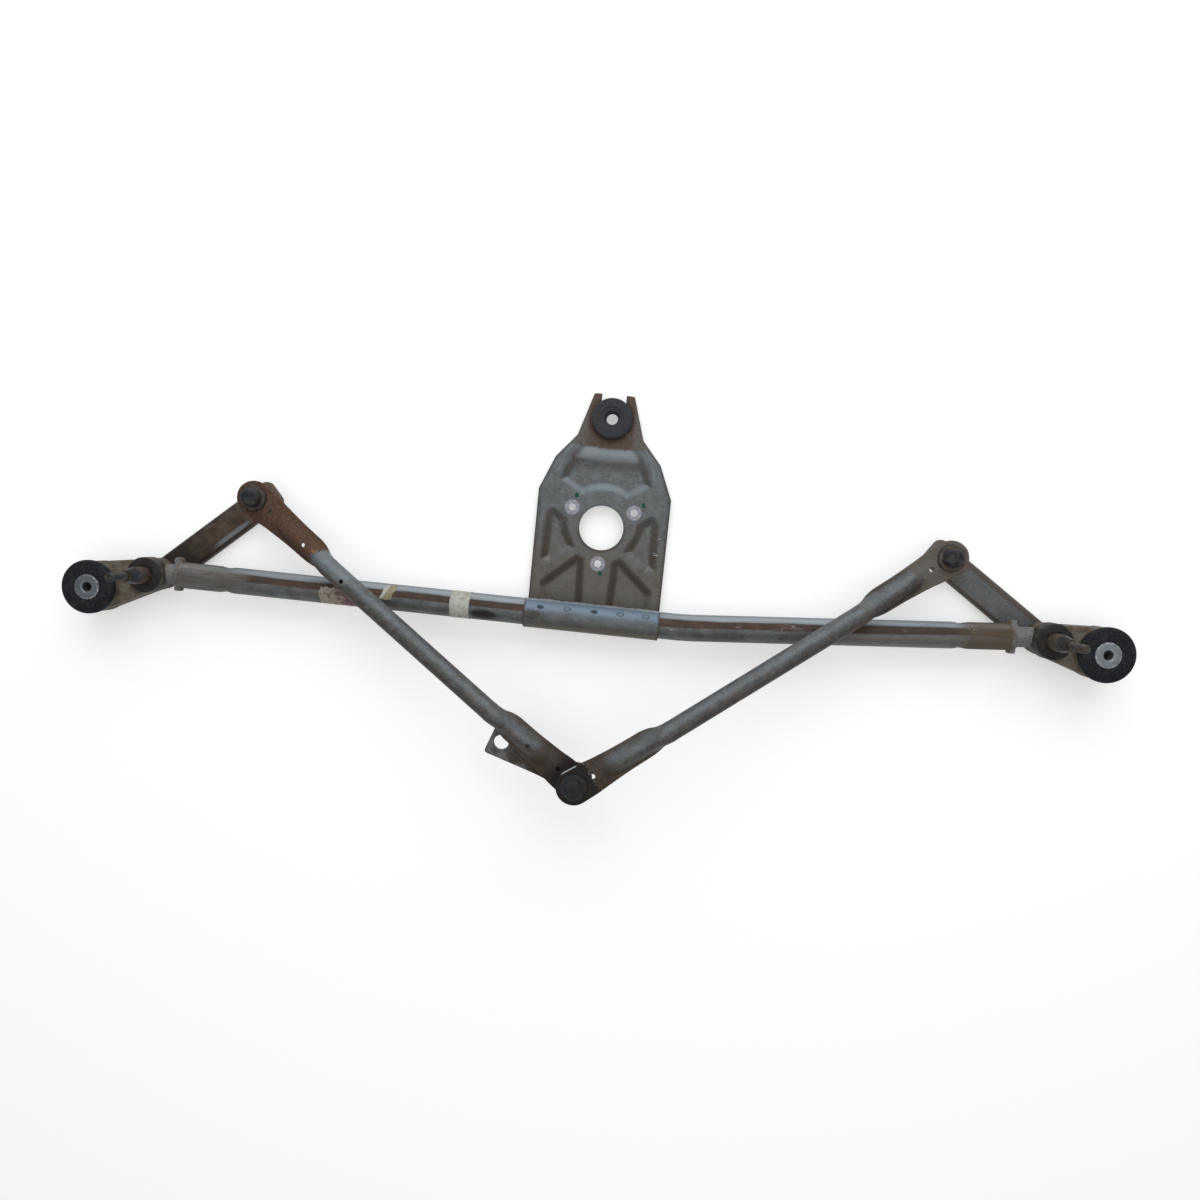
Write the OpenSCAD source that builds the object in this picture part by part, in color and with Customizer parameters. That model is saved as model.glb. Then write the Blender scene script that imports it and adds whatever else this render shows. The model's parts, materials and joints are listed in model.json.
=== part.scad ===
// Windscreen wiper linkage: a bent carrier tube with a pressed motor plate, a cast spindle housing at each
// end, two levers, two push rods and the motor crank. The origin is the centre of the motor hole on the front
// face of the plate. X runs along the tube, Y points up the plate and Z towards the wiper arms.

/* [Carrier tube] */
// Outside diameter of the carrier tube
tube_d = 25; // [22:0.5:28]
// Wall of the carrier tube
tube_wall = 1.5; // [1.2:0.1:2]
// Distance of the tube axis below the motor hole
tube_drop = 85; // [80:1:95]
// Length of the tube left of the motor hole
tube_left = 393; // [360:1:430]
// Where the tube starts to bend, right of the motor hole
bend_from = 75; // [66:1:100]
// Radius of the bend in the tube
bend_r = 300; // [150:10:500]
// Angle of the bend in the tube
bend_angle = 4.5; // [3:0.25:6]
// Length of the straight tube after the bend
tube_right = 285.4; // [260:0.2:310]
// Distance of the crimp from each end of the tube
crimp_at = 44; // [36:1:48]
// Width of the crimp
crimp_w = 12; // [8:1:14]
// Depth of the crimp
crimp_depth = 1.2; // [0.6:0.1:1.6]

/* [Motor plate] */
// Thickness of the plate's sheet
sheet = 2; // [1.5:0.25:2.5]
// Half the width of the plate at its straight flanks
flank_half = 63.2; // [61:0.2:66]
// Height of the top of the straight flanks
flank_y = 32.2; // [30:0.2:35]
// Half the width of the plate at its shoulders
shoulder_half = 50; // [48:0.5:52]
// Height of the shoulders
shoulder_y = 63.7; // [62:0.1:66]
// Half the width of the plate at its waist
waist_half = 31.3; // [30:0.1:33]
// Height of the waist
waist_y = 85.7; // [84:0.1:88]
// Half the width across the two prongs
prong_half = 19.2; // [18:0.1:20.5]
// Height of the prongs
prong_y = 125; // [122:0.5:130]
// Depth of the turned-back rim
rim_depth = 12; // [10:0.5:14]
// Radius of the turned-back edge
rim_r = 5; // [3:0.5:6]
// Diameter of the motor hole
motor_hole_d = 42; // [38:0.5:44]
// Pitch circle of the motor bolts
bolt_pcd = 68; // [64:0.5:70]
// Diameter of the motor bolt holes
bolt_hole_d = 6.8; // [6:0.1:8]
// Depth of the pressed pockets
pocket_depth = 2.5; // [1.5:0.1:3]
// Radius of the raised zone round the motor hole
ring_zone_r = 39; // [38:0.25:40.5]
// How far the sheet wraps round the tube
wrap_angle = 255; // [220:1:270]
// Radius of the tool that makes the stake marks in the wrap
stake_r = 6; // [4:0.5:8]
// Depth of the stake marks
stake_depth = 0.7; // [0.3:0.1:1]
// Distance between the stake marks
stake_pitch = 25.3; // [22:0.1:27]

/* [Rubber grommet] */
// Outside diameter of the grommet
grommet_d = 38; // [36:0.5:40]
// Height of the grommet's middle above the motor hole
grommet_y = 102.4; // [101:0.1:104]
// Diameter of the neck in the plate's slot
grommet_neck_d = 22.8; // [21:0.2:24]
// Diameter of the through bore
grommet_bore = 11; // [10:0.1:12]
// Diameter of the step at the front of the bore
grommet_step_d = 14; // [13:0.2:16]
// Thickness of each grommet flange
grommet_flange = 6; // [5:0.5:8]

/* [Spindle housings] */
// Left tube end to spindle
left_neck = 28.5; // [27:0.5:34]
// Right tube end to spindle
right_neck = 35; // [30:0.5:38]
// Spindle below the tube axis
spindle_drop = 2; // [0:0.5:4]
// Tube end to mount
mount_reach = 83; // [80:0.5:88]
// Left mount below the tube axis
left_mount_drop = 19; // [15:0.5:22]
// Right mount below the tube axis
right_mount_drop = 13; // [10:0.5:18]
// Outside diameter of the spindle boss
boss_d = 31; // [29:0.5:33]
// Height of the boss
boss_h = 27; // [25:0.5:29]
// Front of the plate to the rear of the boss
boss_back = 1; // [0.5:0.1:2]
// Diameter of the neck between tube and boss
neck_d = 19; // [17:0.5:21]
// Length of the spigot inside the tube
spigot_len = 56; // [52:1:62]
// Outside diameter of the mount ring
ring_d = 48.6; // [46:0.2:50]
// Bore of the mount ring
ring_bore = 35; // [33:0.5:37]
// Height of the mount ring
ring_h = 25; // [23:0.5:27]
// Thickness of the arm's web
web_t = 17; // [15:0.5:18]
// Height of the arm's edge ribs
rib_h = 20; // [16:0.5:22]
// Thickness of the arm's edge ribs
rib_t = 4; // [3:0.25:5]
// Height of the stop lugs above and below the neck
lug_half = 15.5; // [14:0.5:17]

/* [Body mounts] */
// Outside diameter of the rubber's front flange
rubber_d = 50.8; // [49:0.2:53]
// Thickness of the rubber's front flange
rubber_front = 6; // [5:0.5:8]
// Diameter of the rubber's rear flange
rubber_back_d = 43; // [40:0.5:46]
// Thickness of the rubber's rear flange
rubber_back = 6; // [5:0.5:7]
// Diameter of the sleeve's front flange
sleeve_flange_d = 24; // [22:0.5:26]
// Thickness of the sleeve's front flange
sleeve_flange = 2.6; // [2:0.1:3.5]
// Outside diameter of the sleeve
sleeve_d = 13; // [12:0.5:15]
// Bore of the sleeve, for an M8 bolt
sleeve_bore = 8.4; // [8.2:0.1:9]

/* [Spindles] */
// Diameter of the spindle
spindle_d = 16; // [15:0.25:17]
// Outside diameter of the spindle bushes
bush_d = 20; // [19:0.25:22]
// Length of each bush
bush_len = 10; // [8:0.5:11]
// Length of plain spindle above the boss
collar_h = 20; // [17:0.5:24]
// Length of the serrated taper
taper_h = 14; // [10:0.5:18]
// Diameter at the small end of the taper
taper_tip_d = 11; // [10:0.25:12]
// Diameter of the thread
thread_d = 8; // [7:0.25:9]
// Length of the threaded end
thread_len = 26; // [20:0.5:30]
// Outside diameter of the boss cap
cap_d = 33.4; // [32.6:0.2:36]
// Depth of the boss cap's skirt
cap_skirt = 16; // [12:0.5:18]
// Thickness of the boss cap's front
cap_front = 2.5; // [2:0.25:3]

/* [Levers] */
// Left lever, spindle to ball
left_lever = 125; // [120:0.5:130]
// Direction of the left lever
left_lever_angle = 41; // [39:0.5:46]
// Right lever, spindle to ball
right_lever = 117; // [112:0.5:122]
// Direction of the right lever
right_lever_angle = 146; // [141:0.5:148]
// Width of the levers
lever_w = 28; // [26:0.5:31]
// Thickness of the levers' sheet
lever_t = 3; // [2.5:0.25:3.5]
// Depth of the levers' turned-back edge
lever_rim = 8; // [6:0.5:8.5]
// Length of lever beyond the ball
lever_tip = 14; // [12:0.5:17]

/* [Push rods] */
// Left rod, ball to crank pin
left_rod_len = 400; // [394:0.5:406]
// Right rod, ball to crank pin
right_rod_len = 398; // [392:0.5:404]
// Diameter of the rods' tube
rod_d = 18.4; // [17:0.2:20]
// Wall of the rods' tube
rod_wall = 1.5; // [1:0.1:2]
// Thickness of the pressed flat at each end
flat_t = 2.5; // [2:0.25:3]
// Radius of the round end
eye_r = 16.2; // [15:0.2:17.5]
// Diameter of the small tooling hole in each flat
tooling_hole_d = 4.5; // [3.5:0.25:5]
// Diameter of the drain hole in each rod's tube
drain_hole_d = 4; // [3:0.25:5]
// Distance of the drain hole from the lever ball
drain_at = 119; // [112:0.5:130]
// Distance of the left rod's vent hole from its lever ball
lever_vent = 68; // [60:0.5:80]
// Distance of the left rod's vent hole from its crank pin
crank_vent = 55; // [52:0.5:80]
// Rise of the lever joints' flats above the levers
joint_rise = 22; // [20.5:0.5:23.5]
// Rise of the left rod's crank end above the tube
crank_rise = 26.5; // [25:0.5:29]
// Step between the two rods on the crank pin
stack_step = 14; // [13:0.5:16]

/* [Ball joints] */
// Diameter of the balls
ball_d = 13; // [12:0.25:14]
// Diameter of the upper ball on the crank pin
top_ball_d = 10; // [9:0.25:10.5]
// Diameter of the socket's flange
socket_flange_d = 25; // [23:0.5:27]
// Thickness of the socket's flange
socket_flange = 2.5; // [2:0.25:3]
// Diameter of the socket's button
button_d = 17.5; // [16.5:0.25:19]
// Height of the socket's button
button_h = 8.5; // [7.5:0.25:10]
// Outside diameter of the socket's cup
cup_d = 18.8; // [18.2:0.2:20]
// Front of the flat to the middle of the ball
ball_depth = 7; // [6.5:0.25:7.5]

/* [Crank] */
// Crank pin to motor shaft hole
crank_len = 77; // [70:0.5:84]
// Direction of the crank from its pin
crank_angle = 160; // [150:1:170]
// Thickness of the crank
crank_t = 5; // [4:0.5:6]
// Front of the left rod's crank flat to the front of the crank
crank_under = 15; // [14:0.5:17]
// Half the width of the crank round the pin
crank_pin_r = 15; // [14:0.25:16.5]
// Half the width of the crank's waist
crank_waist = 12.7; // [11:0.1:13.5]
// Half the width of the crank's flared end
crank_end = 15; // [14:0.25:17]
// Length of crank beyond the shaft hole
crank_tail = 11; // [10:0.5:14]
// Diameter of the motor shaft hole
crank_bore = 14; // [12:0.25:16]

/* [Fits] */
// Radial clearance of pressed and seated pieces
seat = 0.05; // [0.02:0.01:0.1]
// Radial clearance of turning fits
running = 0.05; // [0.02:0.01:0.09]
// Gap between pieces that move past each other
gap = 0.3; // [0.2:0.05:0.5]
// Radial clearance of the crank pin's upper ball
open_pivot = 2.4; // [2.2:0.1:2.6]

/* [Hidden] */
$fn = 48;

// Planes across the part, measured along Z
tube_z = tube_d / 2;
boss_top = boss_h - boss_back;
ring_top = ring_h - boss_back;
mount_back = -rim_depth;
mount_front = ring_top + rubber_front;
washer_t = 1.2;
lever_top = -boss_back - gap - washer_t;
lever_flat = lever_top + joint_rise;
left_crank_flat = tube_d + crank_rise;
right_crank_flat = left_crank_flat + stack_step;
crank_top = left_crank_flat - crank_under;

// Places of the tube's ends, the spindles, the balls and the crank pin in the XY plane
function turned(v, a) = [v.x * cos(a) - v.y * sin(a), v.x * sin(a) + v.y * cos(a)];
left_end = [-tube_left, -tube_drop];
bend_end = [bend_from + bend_r * sin(bend_angle), -tube_drop + bend_r * (1 - cos(bend_angle))];
right_end = bend_end + turned([tube_right, 0], bend_angle);
left_spindle_at = left_end - [left_neck, spindle_drop];
right_spindle_at = right_end + turned([right_neck, -spindle_drop], bend_angle);
left_ball = left_spindle_at + turned([left_lever, 0], left_lever_angle);
right_ball = right_spindle_at + turned([right_lever, 0], right_lever_angle);
span = right_ball - left_ball;
span_len = norm(span);
span_to_foot = (span_len ^ 2 + left_rod_len ^ 2 - right_rod_len ^ 2) / (2 * span_len);
pin_below = sqrt(left_rod_len ^ 2 - span_to_foot ^ 2);
pin_at = left_ball + turned([span_to_foot, -pin_below], atan2(span.y, span.x));

// Outline helpers: an outline is a list of [x, y, corner radius], anticlockwise
corner_steps = 4;
function unit(v) = v / norm(v);
function left_of(v) = [-v.y, v.x];
function point(outline, i) = let (p = outline[(i + len(outline)) % len(outline)]) [p.x, p.y];
function inset(outline, d) = [for (i = [0:len(outline) - 1]) let (
    before = left_of(unit(point(outline, i) - point(outline, i - 1))),
    after = left_of(unit(point(outline, i + 1) - point(outline, i))),
    p = point(outline, i) + d * (before + after) / (1 + before * after))
    [p.x, p.y, max(outline[i][2] - d, 0.6)]];
// An arc of corner_steps + 1 points round each corner
function rounded(outline) = [for (i = [0:len(outline) - 1]) let (
    p = point(outline, i), r = outline[i][2],
    u = unit(point(outline, i - 1) - p), v = unit(point(outline, i + 1) - p),
    half = acos(u * v) / 2,
    centre = p + unit(u + v) * r / sin(half),
    start = centre + (p + u * r / tan(half) - centre),
    swing = (left_of(u) * v < 0 ? 1 : -1) * (180 - 2 * half))
    for (k = [0:corner_steps]) centre + turned(start - centre, swing * k / corner_steps)];
function ring(outline, d, z) = [for (p = rounded(inset(outline, d))) [p.x, p.y, z]];

// Skin through a list of like rings. Its ends are fans round the middle of the ring, or strips between
// the two halves of a ring that is folded like a hat.
function middle(ring) = [for (r = ring) 1] * ring / len(ring);
module loft(rings, folded = false) {
    n = len(rings[0]);
    last = len(rings) - 1;
    hub = len(rings) * n;
    polyhedron(
        points = [for (r = rings) each r, middle(rings[0]), middle(rings[last])],
        faces = [
            for (j = [0:last - 1], i = [0:n - 1])
                [j * n + i, (j + 1) * n + i, (j + 1) * n + (i + 1) % n, j * n + (i + 1) % n],
            if (!folded) for (i = [0:n - 1]) each [
                [i, (i + 1) % n, hub],
                [last * n + (i + 1) % n, last * n + i, hub + 1]],
            if (folded) for (i = [0:n / 2 - 2]) each [
                [i, i + 1, n - 2 - i, n - 1 - i],
                [last * n + n - 1 - i, last * n + n - 2 - i, last * n + i + 1, last * n + i]]
        ],
        convexity = 6);
}

// Pressed sheet with its edge turned back round the whole outline, front face at Z = 0
edge_steps = 3;
module tray(outline, depth, wall, edge) {
    inner = max(edge - wall, 0.5);
    difference() {
        loft([ring(outline, 0, -depth),
            for (k = [0:edge_steps]) let (a = 90 * k / edge_steps)
                ring(outline, edge * (1 - cos(a)), edge * (sin(a) - 1))]);
        loft([ring(outline, wall, -depth - 1),
            for (k = [0:edge_steps]) let (a = 90 * k / edge_steps)
                ring(outline, wall + inner * (1 - cos(a)), inner * (sin(a) - 1) - wall)]);
    }
}

module both_sides() {
    children();
    mirror([1, 0, 0]) children();
}

module at_left_end() {
    translate([left_end.x, left_end.y, 0]) mirror([1, 0, 0]) children();
}

module at_right_end() {
    translate([right_end.x, right_end.y, 0]) rotate(bend_angle) children();
}

module at(place, z = 0) {
    translate([place.x, place.y, z]) children();
}

// Ring of the given radii and height standing on Z = 0
module tube_ring(outer, inner, h) {
    difference() {
        cylinder(r = outer, h = h);
        translate([0, 0, -1]) cylinder(r = inner, h = h + 2);
    }
}

// Carrier tube

tube_r = tube_d / 2;
tube_bore_r = tube_r - tube_wall;

// Straight tube along X from its plain end at 0 to its crimped outer end
module tube_run(length) {
    crimp = length - crimp_at;
    rotate([90, 0, 90]) rotate_extrude() polygon([
        [tube_bore_r, 0], [tube_r, 0],
        [tube_r, crimp - crimp_w / 2], [tube_r - crimp_depth, crimp - crimp_w / 5],
        [tube_r - crimp_depth, crimp + crimp_w / 5], [tube_r, crimp + crimp_w / 2],
        [tube_r, length], [tube_bore_r, length],
        [tube_bore_r, crimp + crimp_w / 2], [tube_bore_r - crimp_depth, crimp + crimp_w / 5],
        [tube_bore_r - crimp_depth, crimp - crimp_w / 5], [tube_bore_r, crimp - crimp_w / 2]]);
}

// The bend is a little thicker in the wall than the straight runs that it laps over
bend_lap = 0.4;
bend_swell = 0.06;
module frame_tube() {
    color("#8b8f8e") translate([0, 0, tube_z]) {
        at([bend_from, -tube_drop]) mirror([1, 0, 0]) tube_run(tube_left + bend_from);
        at([bend_from, bend_r - tube_drop]) rotate(-90 - bend_lap)
            rotate_extrude(angle = bend_angle + 2 * bend_lap) translate([bend_r, 0]) difference() {
                circle(tube_r + bend_swell);
                circle(tube_bore_r - bend_swell);
            }
        at(bend_end) rotate(bend_angle) tube_run(tube_right);
    }
}

// Motor plate

// The outline runs past the top and bottom edges, which are then cut plain, the lower one where the sheet
// runs into its wrap round the tube
overrun = 20;
wrap_lap = 1;
plate_corner_r = 6;
prong_slope = (waist_half - prong_half) / (prong_y - waist_y);
plate_side = [[flank_half, -tube_drop - overrun], [flank_half, flank_y], [shoulder_half, shoulder_y],
    [waist_half, waist_y], [prong_half - prong_slope * overrun, prong_y + overrun]];
plate_outline = [for (p = plate_side) [p.x, p.y, plate_corner_r],
    for (i = [len(plate_side) - 1:-1:0]) [-plate_side[i].x, plate_side[i].y, plate_corner_r]];

// Pressed pockets, each between the raised ring zone, the ribs and the rim
pocket_r = 3;
top_pocket_from = 57;
top_pocket_top = 80;
top_pocket = [[40, 44, pocket_r], [33, 64, pocket_r], [23, top_pocket_top, pocket_r],
    [-23, top_pocket_top, pocket_r], [-33, 64, pocket_r], [-40, 44, pocket_r],
    for (a = [180 - top_pocket_from:-22:top_pocket_from])
        [ring_zone_r * cos(a), ring_zone_r * sin(a), pocket_r]];
flank_pocket = [[48, 11, pocket_r], [38, 3, pocket_r], [37, -5, pocket_r], [27.5, -20.5, pocket_r],
    [46.5, -34.5, pocket_r], [53, -33, pocket_r], [54, 6, pocket_r]];
foot_pocket = [[14.5, -69, pocket_r], [50, -69, pocket_r], [50, -57, pocket_r], [20.5, -31, pocket_r],
    [16.5, -33, pocket_r]];

// Pan of one pocket: solid = true gives the pan's rear skin, false the space to clear in front of it. Its
// floor may climb towards +Y from the ring zone.
module pocket(outline, solid, climb = 0) {
    function floor_ring(d, z) = [for (p = ring(outline, d, z))
        [p.x, p.y, z + climb * max(p.y - ring_zone_r, 0)]];
    if (solid)
        loft([floor_ring(pocket_depth / 2 - sheet / 4, -pocket_depth - sheet),
            ring(outline, -sheet / 3, -sheet / 2)]);
    else
        loft([floor_ring(pocket_depth, -pocket_depth), ring(outline, -sheet / 4, sheet / 4)]);
}

// The top pocket runs out into the flat of the fork
top_pocket_climb = 0.75 * pocket_depth / (top_pocket_top - ring_zone_r);
module pockets(solid) {
    pocket(top_pocket, solid, top_pocket_climb);
    both_sides() {
        pocket(flank_pocket, solid);
        pocket(foot_pocket, solid);
    }
}

wrap_r = tube_r + seat + sheet;
stake_angle = 60;
module plate_wrap() {
    at([0, -tube_drop], tube_z) rotate([0, 90, 0]) rotate(-wrap_angle) rotate_extrude(angle = wrap_angle)
        translate([tube_r + seat, -flank_half]) square([sheet, 2 * flank_half]);
}

module stake_marks() {
    reach = wrap_r + stake_r - stake_depth;
    for (i = [-2:2])
        translate([i * stake_pitch, -tube_drop + reach * cos(stake_angle), tube_z + reach * sin(stake_angle)])
            sphere(r = stake_r);
}

module motor_plate() {
    color("#74726c") difference() {
        union() {
            difference() {
                tray(plate_outline, rim_depth, sheet, rim_r);
                for (y = [prong_y, -tube_drop - wrap_lap - 2 * overrun])
                    translate([-2 * flank_half, y, -2 * rim_depth])
                        cube([4 * flank_half, 2 * overrun, 3 * rim_depth]);
            }
            pockets(true);
            plate_wrap();
        }
        pockets(false);
        stake_marks();
        translate([0, 0, -rim_depth]) cylinder(d = motor_hole_d, h = 2 * rim_depth);
        for (a = [30, 150, 270])
            rotate(a) translate([bolt_pcd / 2, 0, -rim_depth]) cylinder(d = bolt_hole_d, h = 2 * rim_depth);
        at([0, grommet_y], -2 * rim_depth) {
            cylinder(d = grommet_neck_d + 4 * seat, h = 4 * rim_depth);
            translate([-grommet_neck_d / 2 - 2 * seat, 0, 0])
                cube([grommet_neck_d + 4 * seat, 2 * overrun, 4 * rim_depth]);
        }
    }
}

module plate_grommet() {
    half = grommet_d / 2;
    back_half = half - 2;
    back = -sheet - grommet_flange;
    step = grommet_step_d / 2;
    dish = 0.8;
    dish_r = step + 4;
    round_r = 1.5;
    color("#23262b") at([0, grommet_y]) rotate_extrude() polygon([
        [grommet_bore / 2, back], [back_half - round_r, back], [back_half, back + round_r],
        [back_half, -sheet - seat], [grommet_neck_d / 2, -sheet - seat], [grommet_neck_d / 2, seat],
        [half, seat], [half, grommet_flange - round_r], [half - round_r, grommet_flange],
        [dish_r, grommet_flange], [dish_r - dish, grommet_flange - dish], [step, grommet_flange - dish],
        [step, grommet_flange / 3], [grommet_bore / 2, grommet_flange / 3]]);
}

// Spindle housings, in a frame with X along the tube out of its end

function boss_at(neck) = [neck, -spindle_drop];
function ring_at(drop) = [mount_reach, -drop];
// Outer tangents of two circles, as a quadrilateral
function belt(p, rp, q, rq) = let (
    along = atan2(q.y - p.y, q.x - p.x), open = acos((rp - rq) / norm(q - p)))
    [p + turned([rp, 0], along - open), q + turned([rq, 0], along - open),
     q + turned([rq, 0], along + open), p + turned([rp, 0], along + open)];

spigot_r = tube_bore_r - seat;
boss_r = boss_d / 2;
ring_r = ring_d / 2;
stop_t = 4;
module spigot(neck) {
    translate([0, 0, tube_z]) rotate([90, 0, 90]) rotate_extrude() polygon([
        [0, -spigot_len], [spigot_r - 1, -spigot_len], [spigot_r, -spigot_len + 1],
        [spigot_r, -crimp_at - crimp_w / 2], [spigot_r - crimp_depth, -crimp_at - crimp_w / 5],
        [spigot_r - crimp_depth, -crimp_at + crimp_w / 5], [spigot_r, -crimp_at + crimp_w / 2],
        [spigot_r, seat], [tube_r, seat], [tube_r, stop_t - 1], [neck_d / 2, stop_t + 1],
        [neck_d / 2, neck], [0, neck]]);
}

module stop_lugs() {
    lug_t = 7;
    translate([seat, -lug_half, tube_z - lug_t / 2]) cube([stop_t + 3, 2 * lug_half, lug_t]);
}

// Edge of the arm, set in from the common tangents of boss and ring
arm_slack = 0.6;
function arm_edge(neck, drop, set_in) = belt(boss_at(neck), boss_r - set_in, ring_at(drop), ring_r - set_in);
module arm(neck, drop) {
    edge = arm_edge(neck, drop, arm_slack);
    inner = arm_edge(neck, drop, arm_slack + rib_t);
    translate([0, 0, -boss_back]) {
        linear_extrude(web_t) polygon(edge);
        linear_extrude(rib_h) difference() {
            polygon(edge);
            polygon(inner);
        }
    }
}

module housing(neck, drop) {
    color("#7d776b") difference() {
        union() {
            spigot(neck);
            stop_lugs();
            arm(neck, drop);
            at(boss_at(neck), -boss_back) cylinder(r = boss_r, h = boss_h);
            at(ring_at(drop), -boss_back) cylinder(r = ring_r, h = ring_h);
        }
        at(boss_at(neck), -2 * boss_back) cylinder(d = bush_d, h = 2 * boss_h);
        at(ring_at(drop), -2 * boss_back) cylinder(d = ring_bore, h = 2 * ring_h);
    }
}

module mount_rubber(drop) {
    front_r = rubber_d / 2;
    back_r = rubber_back_d / 2;
    neck_r = ring_bore / 2 - seat;
    bore_r = sleeve_d / 2 + seat;
    seat_r = sleeve_flange_d / 2 + seat;
    seat_z = mount_front - sleeve_flange + gap;
    round_r = 2;
    color("#1f1f21") at(ring_at(drop)) rotate_extrude() polygon([
        [bore_r, -boss_back - rubber_back], [back_r - round_r, -boss_back - rubber_back],
        [back_r, -boss_back - rubber_back + round_r], [back_r, -boss_back - seat],
        [neck_r, -boss_back - seat], [neck_r, ring_top + seat], [front_r, ring_top + seat],
        [front_r, mount_front - round_r], [front_r - round_r / 3, mount_front - round_r / 3],
        [front_r - round_r, mount_front], [seat_r, mount_front], [seat_r, seat_z - seat],
        [bore_r, seat_z - seat]]);
}

module mount_sleeve(drop) {
    flange_r = sleeve_flange_d / 2;
    flange_z = mount_front - sleeve_flange + gap;
    top = mount_front + gap;
    bevel = 1;
    color("#b9bdc0") at(ring_at(drop)) difference() {
        rotate_extrude() polygon([
            [0, mount_back], [sleeve_d / 2, mount_back], [sleeve_d / 2, flange_z], [flange_r, flange_z],
            [flange_r, top - bevel / 2], [flange_r - bevel / 2, top], [0, top]]);
        translate([0, 0, mount_back - 1]) cylinder(d = sleeve_bore, h = top - mount_back + 2);
        translate([0, 0, top - bevel])
            cylinder(d1 = sleeve_bore, d2 = sleeve_bore + 4 * bevel, h = 2 * bevel);
    }
}

module bushes(neck) {
    color("#8c7a52") at(boss_at(neck)) for (z = [-boss_back, boss_top - bush_len])
        translate([0, 0, z]) tube_ring(bush_d / 2 - seat, spindle_d / 2 + running, bush_len);
}

cap_top = boss_top + 2 * washer_t + 3 * gap + cap_front;
// The cap's skirt is notched over the neck and the arm
module boss_cap(neck, drop) {
    outer = cap_d / 2;
    inner = boss_r + seat;
    hole = spindle_d / 2 + gap;
    round_r = 2;
    color("#2a2b2e") difference() {
        at(boss_at(neck)) rotate_extrude() polygon([
            [inner, cap_top - cap_skirt], [outer, cap_top - cap_skirt], [outer, cap_top - round_r],
            [outer - round_r / 3, cap_top - round_r / 3], [outer - round_r, cap_top], [hole, cap_top],
            [hole, cap_top - cap_front], [inner, cap_top - cap_front]]);
        translate([0, 0, tube_z]) rotate([0, 90, 0]) cylinder(r = neck_d / 2 + gap, h = neck);
        translate([0, 0, -boss_back]) linear_extrude(rib_h + gap)
            polygon(arm_edge(neck, drop, arm_slack - gap));
    }
}

// Spindles, with Z = 0 on the plate's front face

washer_z = boss_top + gap;
groove_depth = 0.8;
groove_z = washer_z + washer_t + seat;
taper_z = boss_top + collar_h;
thread_z = taper_z + taper_h;
rivet_h = 2;
stem_r = 6;
module spindle() {
    shaft = spindle_d / 2;
    thread = thread_d / 2;
    undercut = 1.5;
    undercut_depth = 0.6;
    chamfer = 1.2;
    color("#5b4a3c") rotate_extrude() polygon([
        [0, lever_top - lever_t - rivet_h], [shaft - 1, lever_top - lever_t - rivet_h],
        [shaft, lever_top - lever_t - rivet_h / 2], [shaft, lever_top - lever_t - seat],
        [stem_r, lever_top - lever_t - seat], [stem_r, lever_top + seat], [shaft, lever_top + seat],
        [shaft, groove_z], [shaft - groove_depth, groove_z], [shaft - groove_depth, groove_z + washer_t],
        [shaft, groove_z + washer_t], [shaft, taper_z], [taper_tip_d / 2, thread_z],
        [thread - undercut_depth, thread_z], [thread - undercut_depth, thread_z + undercut],
        [thread, thread_z + undercut + undercut_depth], [thread, thread_z + thread_len - chamfer],
        [thread - chamfer, thread_z + thread_len], [0, thread_z + thread_len]]);
}

module washers() {
    outer = boss_r - 2;
    color("#9a9a98") {
        translate([0, 0, lever_top + seat]) tube_ring(outer, spindle_d / 2 + seat, washer_t - seat);
        translate([0, 0, washer_z]) tube_ring(outer, spindle_d / 2 + seat, washer_t);
    }
}

module circlip() {
    open_angle = 40;
    clip_w = 3.2;
    color("#6e6e6c") translate([0, 0, groove_z + seat]) rotate(open_angle / 2)
        rotate_extrude(angle = 360 - open_angle)
            translate([spindle_d / 2 - groove_depth + seat, 0]) square([clip_w, washer_t - 2 * seat]);
}

// Levers, along X from the spindle at 0

lever_edge = 4;
lever_corner_r = 7;
module lever(length) {
    half = lever_w / 2;
    hub = half + 1;
    end = length + lever_tip;
    outline = [[-hub, -half, half - 1], [end, -half, lever_corner_r],
        [end, half, lever_corner_r], [-hub, half, half - 1]];
    color("#5d5348") difference() {
        translate([0, 0, lever_top]) tray(outline, lever_rim, lever_t, lever_edge);
        translate([0, 0, lever_top - lever_rim]) cylinder(r = stem_r + seat, h = 2 * lever_rim);
        translate([length, 0, lever_top - lever_rim]) cylinder(r = ball_stem_r + seat, h = 2 * lever_rim);
    }
}

// Stud of a ball: a stem riveted through a sheet, a collar in front of the sheet and a neck up to the ball
ball_stem_r = 4.5;
ball_neck_r = 4;
stud_collar_r = 7.5;
stud_collar_h = 1.5;
rivet_r = ball_stem_r + 1.6;
function stud_outline(front, thickness, ball_z) = [
    [0, front - thickness - rivet_h], [rivet_r - 0.6, front - thickness - rivet_h],
    [rivet_r, front - thickness - seat], [ball_stem_r, front - thickness - seat],
    [ball_stem_r, front + seat], [stud_collar_r, front + seat], [stud_collar_r, front + stud_collar_h],
    [ball_neck_r, front + stud_collar_h + 0.5], [ball_neck_r, ball_z], [0, ball_z]];

module ball_stud(length) {
    z = lever_flat - ball_depth;
    color("#8f8f8b") translate([length, 0, 0]) {
        rotate_extrude() polygon(stud_outline(lever_top, lever_t, z));
        translate([0, 0, z]) sphere(d = ball_d);
    }
}

// Push rods, along X from the lever ball at 0, with Z = 0 on the rear of the flats

rod_r = rod_d / 2;
bend_at = 26;
tube_from = 100;
tube_lift = 1;
pad_step = 0.1;
arc_steps = 10;
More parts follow.
